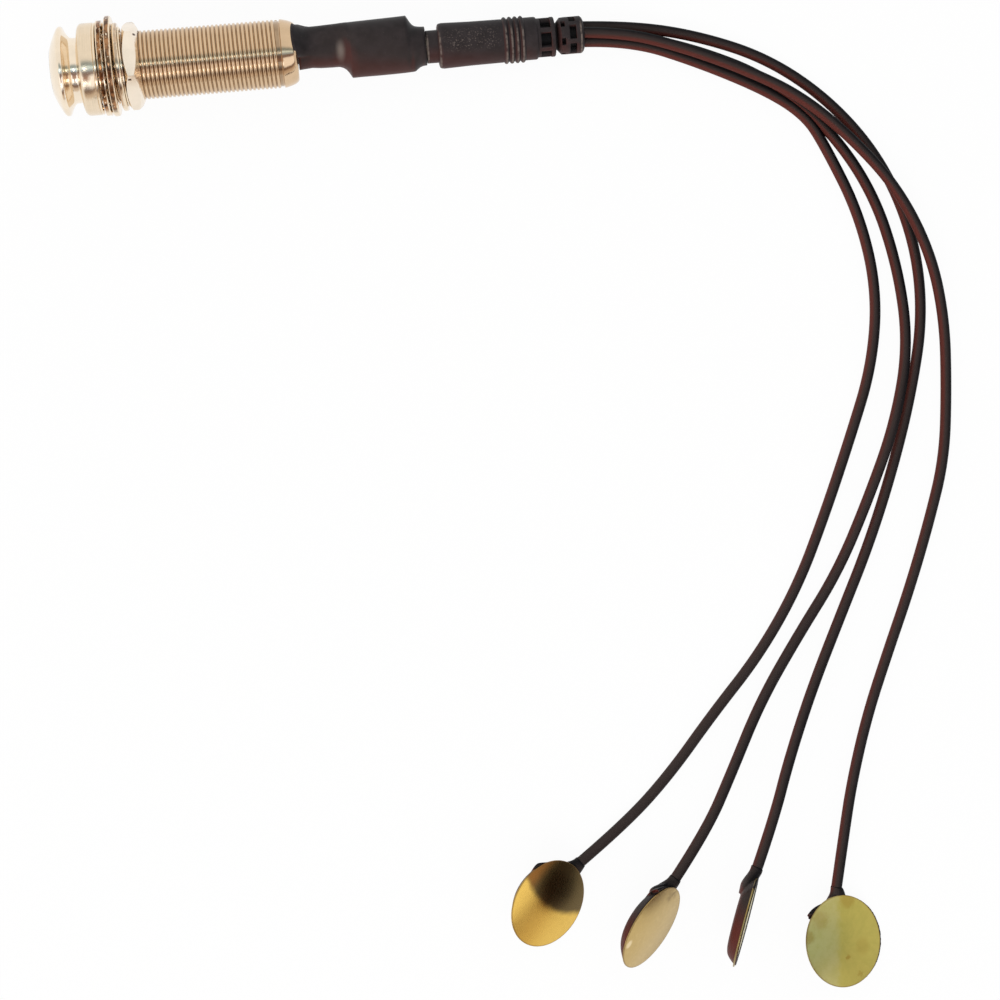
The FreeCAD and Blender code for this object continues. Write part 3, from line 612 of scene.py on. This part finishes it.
class PICKUP_OT_washers(bpy.types.Operator):
    """Makes the loose washers: two flat and rounded, two with teeth"""
    bl_idname = "pickup.washers"
    bl_label = "Washers"

    def execute(self, context):
        steel = self.rim_reflection_steel(context.scene.pickup.nickel)
        flat = [("large_flat_washer", "large_washer", LARGE_WASHER_X, 1.15, 8.8, 6.55, 0.36,
                 Matrix.Translation((0, 0.25, 0))),
                ("small_flat_washer", "small_washer", SMALL_WASHER_X, 0.9, 7.75, 6.3, 0.3,
                 self.leaned(SMALL_WASHER_X, 2.2))]
        for name, node, x, thick, outer, inner, rounding, shift in flat:
            front = x - thick / 2
            back = x + thick / 2
            bm = turned([(front, inner), (front, outer), (back, outer), (back, inner)])
            soften(bm, rounding, 4)
            stands_for(to_object(bm, name, JACK @ shift), node, steel)
        for name, node in (("outer_toothed_washer", "outer_star_washer"),
                           ("inner_toothed_washer", "inner_star_washer")):
            bm = node_copy(node)
            bmesh.ops.dissolve_limit(bm, angle_limit=math.radians(0.6), verts=bm.verts,
                                     edges=bm.edges)
            soften(bm, 0.09 * MM, 3, 50.0)
            stands_for(to_object(bm, name, Matrix.Identity(4)), node, steel)
        return {"FINISHED"}

    @staticmethod
    def rim_reflection_steel(colour):
        """Steel with a painted dark brown reflection along the middle of each rim's upper side, broken
        by pale spots that stand for glints.
        """
        bands = [(9.78, 0.30, 1.0), (LARGE_WASHER_X, 0.34, 0.95), (SMALL_WASHER_X, 0.2, 0.5)]

        def build(g):
            here = g.place(JACK)
            x, y, z = g.split(here)
            radius = (y * y + z * z).root()
            wander = (g.noise(here, 0.9, 3.0) - 0.5) * 0.35
            dark = None
            for centre, half, share in bands:
                band = (1 - (x + wander - centre).magnitude().rises(half - 0.05, half + 0.12)) * share
                dark = band if dark is None else dark.most(band)
            rim = radius.rises(7.3, 7.5)
            # Painted reflection: the dark band lies only where the rim faces up
            facing = z.rises(1.2, 3.4)
            glints = g.noise(g.stretch(here, (2.0, 0.9, 0.9)), 1.4, 2.0).rises(0.64, 0.70)
            dark = dark * rim * facing * (1 - glints)
            cloud = g.noise(here, 0.8, 4.0)
            brown = g.blend(cloud.rises(0.4, 0.62), (0.060, 0.022, 0.009), (0.40, 0.19, 0.080))
            tint = g.blend(cloud.rises(0.35, 0.7) * 0.3, colour, darker(colour, 0.8))
            return {"Base Color": g.blend(dark, tint, brown), "Metallic": 1.0,
                    "Roughness": cloud * 0.12 + 0.08,
                    "Normal": g.bump(g.noise(here, 2.5, 3.0), 0.12, 0.05 * MM)}
        return surface("washer_steel", build)

    @staticmethod
    def leaned(x, degrees):
        """Leans a washer over about the upright line through the axis at x."""
        return (Matrix.Translation((x, 0, 0)) @ Matrix.Rotation(math.radians(degrees), 4, "Z")
                @ Matrix.Translation((-x, 0, 0)))


class PICKUP_OT_hex_nut(bpy.types.Operator):
    """Makes the hex nut, with its cut-back corners softened"""
    bl_idname = "pickup.hex_nut"
    bl_label = "Hex nut"

    def execute(self, context):
        bm = node_copy("hex_nut")
        bmesh.ops.dissolve_limit(bm, angle_limit=math.radians(0.6), verts=bm.verts,
                                 edges=bm.edges)
        soften(bm, 0.1 * MM, 3, 22.0)
        nut = to_object(bm, "softened_hex_nut", Matrix.Identity(4), 30.0)
        pale = (0.95, 0.84, 0.70)

        def nicks(g, x, radius, here):
            """A dark slit where two flats meet, and a speck on the rear chamfer."""
            y = g.split(here)[1]
            slit = ((x - 14.55).magnitude().rises(0.22, 0.34)).most(
                (y + 3.7).magnitude().rises(0.07, 0.17))
            speck = distance(x, y, 15.9, 4.35).rises(0.15, 0.3)
            return 1 - slit.least(speck)
        stands_for(nut, "hex_nut",
                   nickel_plate("nut_plate", JACK, pale, 0.22, 0.15, nicks))
        return {"FINISHED"}


class PICKUP_OT_barrel(bpy.types.Operator):
    """Turns the jack's barrel and winds its fine thread"""
    bl_idname = "pickup.barrel"
    bl_label = "Threaded barrel"

    def execute(self, context):
        sizes = context.scene.pickup
        crest = sizes.thread_diameter / 2 / MM
        pitch = sizes.thread_pitch / MM
        root = crest - 0.30
        bore = 3.2
        spigot = 4.5
        chamber = 4.6
        rear_hole = 2.1
        plain = [(BARREL_END - 2.4, crest - 0.04), (BARREL_END - 1.9, crest - 0.16),
                 (BARREL_END - 1.2, crest - 0.36), (BARREL_END - 0.7, crest - 0.56),
                 (BARREL_END - 0.38, crest - 0.76), (BARREL_END - 0.14, crest - 0.98),
                 (BARREL_END, crest - 1.3)]
        front = [(SPIGOT_X, bore), (SPIGOT_X, spigot), (COLLAR_X, spigot), (COLLAR_X, root),
                 (THREAD_END, root), (THREAD_END + 0.15, crest - 0.02)]
        inside = [(BARREL_END, rear_hole), (CHAMBER_END, rear_hole), (CHAMBER_END, chamber),
                  (CHAMBER_X, chamber), (CHAMBER_X, bore)]
        body = turned(front + plain + inside)
        first = THREAD_START
        turns = int((THREAD_END + 0.05 - first) / pitch)
        per_turn = 64
        ridge = bmesh.new()
        outline = profile_loop(ridge, [(first - 0.36, root - 0.05), (first - 0.24, crest - 0.13),
                                       (first - 0.14, crest - 0.03), (first, crest),
                                       (first + 0.14, crest - 0.03), (first + 0.24, crest - 0.13),
                                       (first + 0.36, root - 0.05)])
        bmesh.ops.spin(ridge, geom=outline, cent=(0, 0, 0), axis=(1, 0, 0),
                       dvec=(pitch / per_turn, 0, 0), angle=FULL_TURN * turns,
                       steps=per_turn * turns)
        bmesh.ops.holes_fill(ridge, edges=[e for e in ridge.edges if e.is_boundary], sides=0)
        bmesh.ops.recalc_face_normals(ridge, faces=ridge.faces)
        wound = bpy.data.meshes.new("wound_thread")
        ridge.to_mesh(wound)
        ridge.free()
        body.from_mesh(wound)
        bpy.data.meshes.remove(wound)
        barrel = to_object(body, "threaded_barrel", JACK, 60.0)

        def root_shade(g, x, radius, here):
            """Painted shade: darker brown in the thread's roots, in patches."""
            deep = 1 - radius.rises(root + 0.02, crest - 0.10)
            patchy = g.noise(here, 0.6, 3.0) * 0.4 + 0.25
            return deep * patchy * x.rises(9.0, 10.0) * (1 - x.rises(41.0, 41.3))

        stands_for(barrel, "barrel",
                   nickel_plate("barrel_plate", JACK, (0.69, 0.50, 0.32), 0.12, 0.0, root_shade))
        return {"FINISHED"}


class PICKUP_OT_sleeve(bpy.types.Operator):
    """Draws the heat-shrink sleeve over the joint"""
    bl_idname = "pickup.sleeve"
    bl_label = "Heat-shrink sleeve"

    def execute(self, context):
        bm = bmesh.new()
        before = None
        for station, upper, lower, high, square in SLEEVE:
            wide = (upper - lower) / 2
            ring = bmesh.ops.create_circle(bm, cap_ends=False, radius=1.0, segments=96)["verts"]
            for vert in ring:
                angle = math.atan2(vert.co.y, vert.co.x)
                across = math.cos(angle)
                up = math.sin(angle)
                y = math.copysign(abs(across) ** (2 / square), across) * wide + (upper + lower) / 2
                z = math.copysign(abs(up) ** (2 / square), up) * high
                vert.co = self.flap(station, y, z)
            edges = list({e for v in ring for e in v.link_edges
                          if e.other_vert(v) in ring})
            if before is not None:
                bmesh.ops.bridge_loops(bm, edges=before + edges)
            before = edges
        bmesh.ops.recalc_face_normals(bm, faces=bm.faces)
        sleeve = to_object(bm, "shrunk_sleeve", JACK)
        wall = sleeve.modifiers.new("wall", "SOLIDIFY")
        wall.thickness = 0.45 * MM
        wall.offset = -1.0
        apply_modifiers(sleeve)
        stands_for(sleeve, "heat_shrink_sleeve",
                   black_plastic("shrink_sleeve", JACK, context.scene.pickup.sleeve, 0.36, 2.2,
                                 0.12, self.shine, 0.5))
        return {"FINISHED"}

    @staticmethod
    def shine(g, x, y, radius, here):
        """One soft painted highlight where the sleeve swells."""
        off = ((x - 51.7) * (x - 51.7) * 2.2 + (y + 0.9) * (y + 0.9) * 0.45).root()
        return (1 - off.rises(0.0, 1.7)) * 0.9

    @staticmethod
    def flap(station, y, z):
        """Draws the mouth's torn edge forward over the barrel's rounded end, on its upper side."""
        turn = math.degrees(math.atan2(y, z)) - 24.0
        fade = max(0.0, 1 - (station - 44.15) / 2.2)
        lift = max(0.0, 1 - (turn / 52.0) ** 2) ** 0.6 * fade
        x = station - 1.0 * lift
        radius = math.hypot(y, z)
        above = 5.62 - max(0.0, x - 43.1) * 0.55
        scale = 1 + (above / radius - 1) * min(1.0, lift * 1.6) if above > radius else 1.0
        return (x, y * scale, z * scale)


class PICKUP_OT_moulding(bpy.types.Operator):
    """Makes the plug's moulding: collar, grip with rings, step and slotted strain relief"""
    bl_idname = "pickup.moulding"
    bl_label = "Plug moulding"

    def execute(self, context):
        rings = []
        for number in range(4):
            x = RINGS_X + number
            rings += [(x - 0.42, 3.78), (x - 0.3, 3.98), (x - 0.13, 4.12), (x, 4.15),
                      (x + 0.13, 4.12), (x + 0.3, 3.98), (x + 0.42, 3.78)]
        outline = [(MOULDING_X, 1.0), (MOULDING_X, 2.9), (GRIP_X, 2.9), (GRIP_X, 3.5),
                   (69.25, 3.80), (69.5, 3.95), (69.95, 4.03), (75.0, 3.88),
                   (80.6, 3.83)] + rings + [
                   (STEP_X, 3.78), (RELIEF_X - 0.35, 3.78), (RELIEF_X - 0.1, 3.68),
                   (RELIEF_X, 3.45), (RELIEF_SLOT_X, 3.45), (RELIEF_RING_X, 3.45),
                   (RELIEF_RING_X + 0.08, 3.53), (89.95, 3.53), (90.06, 3.4), (90.15, 2.4),
                   (90.42, 2.4), (90.6, 2.62), (TAIL_X, 3.25), (TAIL_BAND_X, 3.3),
                   (TAIL_SLOT_X, 3.3), (TAIL_RING_X, 3.3), (94.7, 3.3), (94.9, 3.22),
                   (95.15, 2.95), (EXIT_X, 2.6), (EXIT_X, 1.0)]
        bm = turned(outline, 96)
        # Each band: its two ends, its webs, their turn and width, its radius
        windows = [(RELIEF_SLOT_X, RELIEF_RING_X, 6, 20.0, 0.9, 3.45),
                   (TAIL_X, TAIL_BAND_X, 6, 90.0, 2.1, 3.27),
                   (TAIL_SLOT_X, TAIL_RING_X, 6, 0.0, 1.0, 3.3)]
        for start, end, webs, turn, web, radius in windows:
            self.cut_windows(bm, start, end, webs, turn, web, radius)
        bmesh.ops.recalc_face_normals(bm, faces=bm.faces)
        soften(bm, 0.07, 2, 40.0)
        moulding = to_object(bm, "slotted_moulding", PLUG)

        def lit_edges_and_dust(g, x, y, radius, here):
            """Painted highlights on the -Y side of the grip's ring crests, its front edge, the boss and
            the tail's edge, and pale dust on the grip.
            """
            crests = radius.rises(4.04, 4.13) * x.within(80.6, 84.9, 0.1)
            front = x.within(69.12, 69.55, 0.08) * radius.rises(3.5, 3.8)
            boss = x.within(67.0, 67.35, 0.06) * radius.rises(2.6, 2.85)
            tail = x.within(94.55, 94.85, 0.06) * radius.rises(3.2, 3.24)
            edges = (crests * 0.75).most(front * 0.8).most(boss).most(tail)
            lit = edges * (1 - y.rises(0.6, 2.4)) * g.noise(here, 1.5, 3.0).rises(0.25, 0.6)
            dust = g.noise(here, 4.2, 2.0, 0.4).rises(0.60, 0.68)
            powder = dust * x.within(70.5, 79.5, 1.5) * y.within(-1.6, 2.2, 0.8)
            return lit.most(powder * 0.55)

        def shaded(x, radius):
            """Painted shade: black in the slots' depths."""
            return 1 - radius.rises(2.35, 3.2) - x.rises(94.9, 95.1) - (1 - x.rises(86.9, 87.1))

        stands_for(moulding, "plug_moulding",
                   black_plastic("moulding_black", PLUG, context.scene.pickup.moulding, 0.42, 3.0,
                                 0.12, lit_edges_and_dust, 0.35, shaded))
        return {"FINISHED"}

    @staticmethod
    def cut_windows(bm, start, end, webs, turn, web, radius):
        """Pushes the faces between the webs of one band in to the core."""
        core = 2.25
        half_web = math.degrees(math.asin(web / 2 / radius))
        chosen = []
        for face in bm.faces:
            middle = face.calc_center_median()
            if not start < middle.x < end or abs(math.hypot(middle.y, middle.z) - radius) > 0.1:
                continue
            angle = math.degrees(math.atan2(middle.z, middle.y)) - turn
            off = (angle + 180 / webs) % (360 / webs) - 180 / webs
            if abs(off) > half_web:
                chosen.append(face)
        pushed = bmesh.ops.extrude_face_region(bm, geom=chosen)["geom"]
        bmesh.ops.delete(bm, geom=chosen, context="FACES")
        for vert in [v for v in pushed if isinstance(v, bmesh.types.BMVert)]:
            scale = core / math.hypot(vert.co.y, vert.co.z)
            vert.co = (vert.co.x, vert.co.y * scale, vert.co.z * scale)


class PICKUP_OT_discs(bpy.types.Operator):
    """Makes the brass discs and the rubber coats behind them"""
    bl_idname = "pickup.discs"
    bl_label = "Discs"

    def execute(self, context):
        sizes = context.scene.pickup
        rubber = black_plastic("disc_rubber", TABLE, (0.012, 0.010, 0.010), 0.40, 2.0, 0.06,
                               warm=1.0)
        for number, finish in enumerate(self.finishes(sizes), 1):
            bm = bmesh.new()
            bmesh.ops.create_circle(bm, cap_ends=True, radius=DISC_R, segments=128)
            bmesh.ops.translate(bm, verts=bm.verts, vec=(0, 0, -DISC_T))
            top = bmesh.ops.extrude_face_region(bm, geom=list(bm.faces))["geom"]
            bmesh.ops.translate(bm, vec=(0, 0, DISC_T),
                                verts=[v for v in top if isinstance(v, bmesh.types.BMVert)])
            bmesh.ops.recalc_face_normals(bm, faces=bm.faces)
            soften(bm, 0.06, 2)
            plate = to_object(bm, f"brass_disc_{number}", self.matrix(number))
            stands_for(plate, f"disc_plate_{number}", finish)
            coat = to_object(self.coat(number), f"rubber_coat_{number}", Matrix.Identity(4))
            remesh = coat.modifiers.new("remesh", "REMESH")
            remesh.mode = "VOXEL"
            remesh.voxel_size = 0.14 * MM
            relax = coat.modifiers.new("relax", "SMOOTH")
            relax.factor = 0.5
            relax.iterations = 6
            apply_modifiers(coat)
            coat.data.shade_smooth()
            stands_for(coat, f"disc_coat_{number}", rubber)
        return {"FINISHED"}

    # The turn of each coat's neck in its disc's plane, and how far its skirt spreads beside it
    NECK_TURNS = [28.0, 6.0, 8.0, 8.0]
    SKIRTS = [1.2, 1.8, 0.4, 2.2]

    def coat(self, number):
        """The solid's coat, deepened behind its disc, with its neck drawn to the lead."""
        bm = node_copy(f"disc_coat_{number}")
        depth, shift, lean = COATS[number - 1]
        disc = self.matrix(number)
        upright = disc @ Matrix.Rotation(math.radians(-lean), 4, "X")
        for vert in bm.verts:
            local = upright.inverted() @ vert.co
            out = clamped((math.hypot(local.x, local.y) - 6.0) / 3.2)
            out = out * out * (3 - 2 * out)
            local.z *= 1 + (depth - 1) * (1 - out)
            beside = local.y - local.x * math.tan(math.radians(self.NECK_TURNS[number - 1]))
            skirt = clamped((9.9 - local.x) / 1.9) * clamped(local.x / 2 - 2.2)
            if 0.4 < beside < 3.6:
                local.y += self.SKIRTS[number - 1] * skirt * min(1.0, beside / 1.4)
            vert.co = disc @ local
            vert.co.x += shift * out * MM
        return bm

    @staticmethod
    def matrix(number):
        x, y, z, turn, tilt = DISCS[number - 1]
        return (Matrix.Translation((x * MM, y * MM, z * MM))
                @ Matrix.Rotation(math.radians(turn), 4, "Z")
                @ Matrix.Rotation(math.radians(tilt), 4, "X") @ TABLE)

    def finishes(self, sizes):
        """One brass finish for each disc, with its own tarnish; the first carries a painted reflection
        and the second a painted highlight.
        """
        def spot(x, y, across, up, size):
            """A round soft spot in the disc's plane."""
            return 1 - distance(x, y, across, up).rises(size * 0.4, size)

        def reflected_coat(g, x, y, here):
            """Painted reflection of the next disc's dark coat: dark olive towards the lead, behind a
            round front, browner along the rim.
            """
            wander = g.noise(here, 0.5, 2.0) * 0.8
            away = distance(x, y, 13.65, -3.5) + wander
            shade = 1 - away.rises(14.2, 15.7)
            rim = (x * 0.45 + y * 0.9).rises(4.2, 7.2)
            return [(shade * 0.96, (0.115, 0.080, 0.034)), (shade * rim, (0.27, 0.12, 0.030))]

        def freckles_and_glint(g, x, y, here):
            faint = g.noise(here, 0.8, 4.0).rises(0.5, 0.7) * 0.35
            patch = spot(x, y, 7.2, -0.6, 2.4) * g.noise(here, 0.6, 2.0).rises(0.3, 0.7)
            # The pale round spot at (-3.9, 5.6) is a painted highlight, a glint
            return [(faint, (0.66, 0.50, 0.22)), (patch * 0.75, (0.23, 0.14, 0.035)),
                    (spot(x, y, -3.9, 5.6, 1.1) * 0.7, (0.92, 0.76, 0.48))]

        def mottled(g, x, y, here):
            cloud = g.noise(here, 0.5, 5.0, 0.7).rises(0.42, 0.62)
            wander = g.noise(here, 0.8, 3.0) * 1.6 - 0.8
            pale = (y + x * 0.3 + wander).rises(0.1, 2.2)
            bent_x = x + g.noise(here, 0.9, 2.0) * 1.6 - 0.8
            bent_y = y + g.noise(here, 1.1, 2.0) * 1.6 - 0.8
            stains = spot(x, y, -2.1, -3.8, 2.0) * 0.3
            for across, up, size, share in STAINS:
                stains = stains.most(spot(bent_x, bent_y, across, up, size) * share)
            return [(pale * 0.75, (0.52, 0.47, 0.20)), (cloud * 0.35, (0.42, 0.37, 0.09)),
                    (stains * 0.75, (0.33, 0.20, 0.03))]

        return [
            disc_brass("brass_bright", self.matrix(1), sizes.brass, reflected_coat, 0.17),
            disc_brass("brass_tan", self.matrix(2), (0.57, 0.41, 0.155), freckles_and_glint, 0.28),
            disc_brass("brass_edge_on", self.matrix(3), (0.52, 0.44, 0.18), mottled, 0.25),
            disc_brass("brass_pale", self.matrix(4), (0.50, 0.42, 0.105), mottled, 0.24),
        ]


class PICKUP_OT_inside(bpy.types.Operator):
    """Finishes the pieces held inside the jack, the sleeve and the coats"""
    bl_idname = "pickup.inside"
    bl_label = "Inner pieces"

    def execute(self, context):
        finishes = [
            (plain_stuff("insulator", (0.62, 0.58, 0.50), 0.0, 0.4),
             ["insulating_liner", "rear_insulator", "plug_ring"]),
            (plain_stuff("contact_metal", (0.72, 0.62, 0.42), 1.0, 0.2),
             ["tip_spring", "tip_lug", "ground_lug", "socket_spring", "socket_tip_lug",
              "socket_ground_lug"]),
            (plain_stuff("plug_plate", (0.75, 0.66, 0.55), 1.0, 0.15),
             ["plug_tip", "plug_sleeve"]),
            (plain_stuff("socket_plastic", (0.02, 0.02, 0.02), 0.0, 0.4), ["socket_body"]),
            (plain_stuff("hot_wire_jacket", (0.45, 0.03, 0.02), 0.0, 0.35), ["hot_wire"]),
            (plain_stuff("ground_wire_jacket", (0.02, 0.02, 0.02), 0.0, 0.35), ["ground_wire"]),
            (plain_stuff("piezo_wafer", (0.50, 0.47, 0.40), 0.0, 0.5),
             [f"piezo_ceramic_{number}" for number in range(1, 5)]),
        ]
        for material, nodes in finishes:
            for node in nodes:
                dress(node, material)
        return {"FINISHED"}


class PICKUP_OT_stage(bpy.types.Operator):
    """Sets the white table, the studio around it and one soft lamp"""
    bl_idname = "pickup.stage"
    bl_label = "Stage"

    def execute(self, context):
        bm = bmesh.new()
        bmesh.ops.create_grid(bm, x_segments=1, y_segments=1, size=1.5)
        floor = to_object(bm, "table", Matrix.Identity(4))
        material = bpy.data.materials.new("white_table")
        material.use_nodes = True
        g = Graph(material.node_tree)
        paper = g.node("ShaderNodeBsdfDiffuse", None, {"Color": (0.86, 0.85, 0.84, 1.0)})
        glow = g.node("ShaderNodeEmission", None, {"Color": (1, 1, 1, 1), "Strength": 1.0})
        ray = g.node("ShaderNodeLightPath", output=None)
        seen = Wire(g, ray.outputs["Is Camera Ray"]).most(
            Wire(g, ray.outputs["Is Glossy Ray"])).most(
            Wire(g, ray.outputs["Is Transmission Ray"]))
        mixed = g.node("ShaderNodeMixShader", None, {0: seen * 0.95, 1: paper, 2: glow})
        g.node("ShaderNodeOutputMaterial", None, {"Surface": mixed}, None)
        floor.data.materials.append(material)
        self.studio(context)
        above = Vector((-0.12, -0.42, 0.62))
        lamp = bpy.data.lights.new("soft_lamp", "AREA")
        lamp.shape = "RECTANGLE"
        lamp.size = 0.5
        lamp.size_y = 0.35
        lamp.energy = 1.6
        lamp.color = (1.0, 0.97, 0.93)
        placed = bpy.data.objects.new("soft_lamp", lamp)
        placed.location = above
        placed.rotation_euler = (-above).to_track_quat("-Z", "Y").to_euler()
        placed.visible_glossy = False
        context.scene.collection.objects.link(placed)
        context.scene.view_settings.view_transform = "Standard"
        return {"FINISHED"}

    # What hangs over the table, in degrees from straight up towards -Y: the two ends of each
    # change of colour, and the colour that follows it
    SHADES = [
        (0, 0, WHITE_ROOM), (-17, -4, (0.34, 0.41, 0.44)), (14, 19, (0.27, 0.20, 0.19)),
        (24, 32, (0.48, 0.31, 0.25)), (36, 42, (0.72, 0.68, 0.66)), (53, 58, (0.34, 0.33, 0.36)),
        (60, 66, (0.24, 0.16, 0.12)), (69, 78, (0.68, 0.56, 0.46)), (80, 94, (0.95, 0.91, 0.87)),
    ]
    # Lamps: their two edges in tilt, their inner and outer reach to either side, their colour
    LAMPS = [(2, 9, 5, 60, (0.98, 1.25, 1.40)), (10, 14, 5, 60, (0.52, 0.68, 0.90)),
             (40, 53, 6, 45, (1.9, 2.0, 2.2)), (27, 62, 18, 62, (1.25, 1.25, 1.3))]
    # Round flashes: degrees across, degrees of tilt, size, strength
    FLASHES = [(-2, 8, 5.0, 6.0), (-16, 46, 4.0, 12.0)]

    def studio(self, context):
        """A white room with a dark camera and its flash overhead, and side lamps.

        Tilt is measured from straight up towards -Y, side from there towards +X."""
        world = bpy.data.worlds.new("studio")
        context.scene.world = world
        world.use_nodes = True
        g = Graph(world.node_tree)
        x, y, z = g.split(g.node("ShaderNodeTexCoord", output="Generated"))
        tilt = g.node("ShaderNodeMath", {"operation": "ARCTAN2"}, {0: 0 - y, 1: z}) * DEGREES_PER_RADIAN
        side = g.node("ShaderNodeMath", {"operation": "ARCSINE"}, {0: x}) * DEGREES_PER_RADIAN
        room = None
        for low, high, colour in self.SHADES:
            room = colour if room is None else g.blend(tilt.rises(low, high), room, colour)
        open_sky = (0 - side).rises(26, 40).most(side.rises(58, 72))
        room = g.blend(open_sky, room, WHITE_ROOM)
        for low, high, inner, outer, colour in self.LAMPS:
            lit = tilt.within(low, high, 1.5) * (side + 2).magnitude().within(inner, outer, 3.0)
            room = g.blend(lit, room, colour)
        for across, up, size, strength in self.FLASHES:
            off = distance(side, tilt, across, up)
            room = g.blend(1 - off.rises(size * 0.6, size), room, (strength,) * 3)
        ray = g.node("ShaderNodeLightPath", output=None)
        light = g.blend(Wire(g, ray.outputs["Is Camera Ray"]), room, (1.0, 1.0, 1.0))
        sky = g.node("ShaderNodeBackground", None, {"Color": light, "Strength": 1.0})
        g.node("ShaderNodeOutputWorld", None, {"Surface": sky}, None)


class PICKUP_PT_panel(bpy.types.Panel):
    """Lists the pieces of the pickup and their sizes"""
    bl_idname = "PICKUP_PT_panel"
    bl_label = "Piezo pickup"
    bl_space_type = "VIEW_3D"
    bl_region_type = "UI"
    bl_category = "Pickup"

    def draw(self, context):
        sizes = context.scene.pickup
        for name in PickupSettings.__annotations__:
            self.layout.prop(sizes, name)
        for operator in OPERATORS:
            self.layout.operator(operator.bl_idname)


OPERATORS = (
    PICKUP_OT_camera, PICKUP_OT_leads, PICKUP_OT_strap_button, PICKUP_OT_collar,
    PICKUP_OT_washers, PICKUP_OT_hex_nut, PICKUP_OT_barrel, PICKUP_OT_sleeve,
    PICKUP_OT_moulding, PICKUP_OT_discs, PICKUP_OT_inside, PICKUP_OT_stage,
)
CLASSES = (PickupSettings,) + OPERATORS + (PICKUP_PT_panel,)


def register():
    for cls in CLASSES:
        bpy.utils.register_class(cls)
    bpy.types.Scene.pickup = bpy.props.PointerProperty(type=PickupSettings)


def unregister():
    del bpy.types.Scene.pickup
    for cls in reversed(CLASSES):
        bpy.utils.unregister_class(cls)


def main():
    register()
    bpy.ops.pickup.camera()
    bpy.ops.pickup.leads()
    bpy.ops.pickup.strap_button()
    bpy.ops.pickup.collar()
    bpy.ops.pickup.washers()
    bpy.ops.pickup.hex_nut()
    bpy.ops.pickup.barrel()
    bpy.ops.pickup.sleeve()
    bpy.ops.pickup.moulding()
    bpy.ops.pickup.discs()
    bpy.ops.pickup.inside()
    bpy.ops.pickup.stage()


if __name__ == "__main__":
    main()
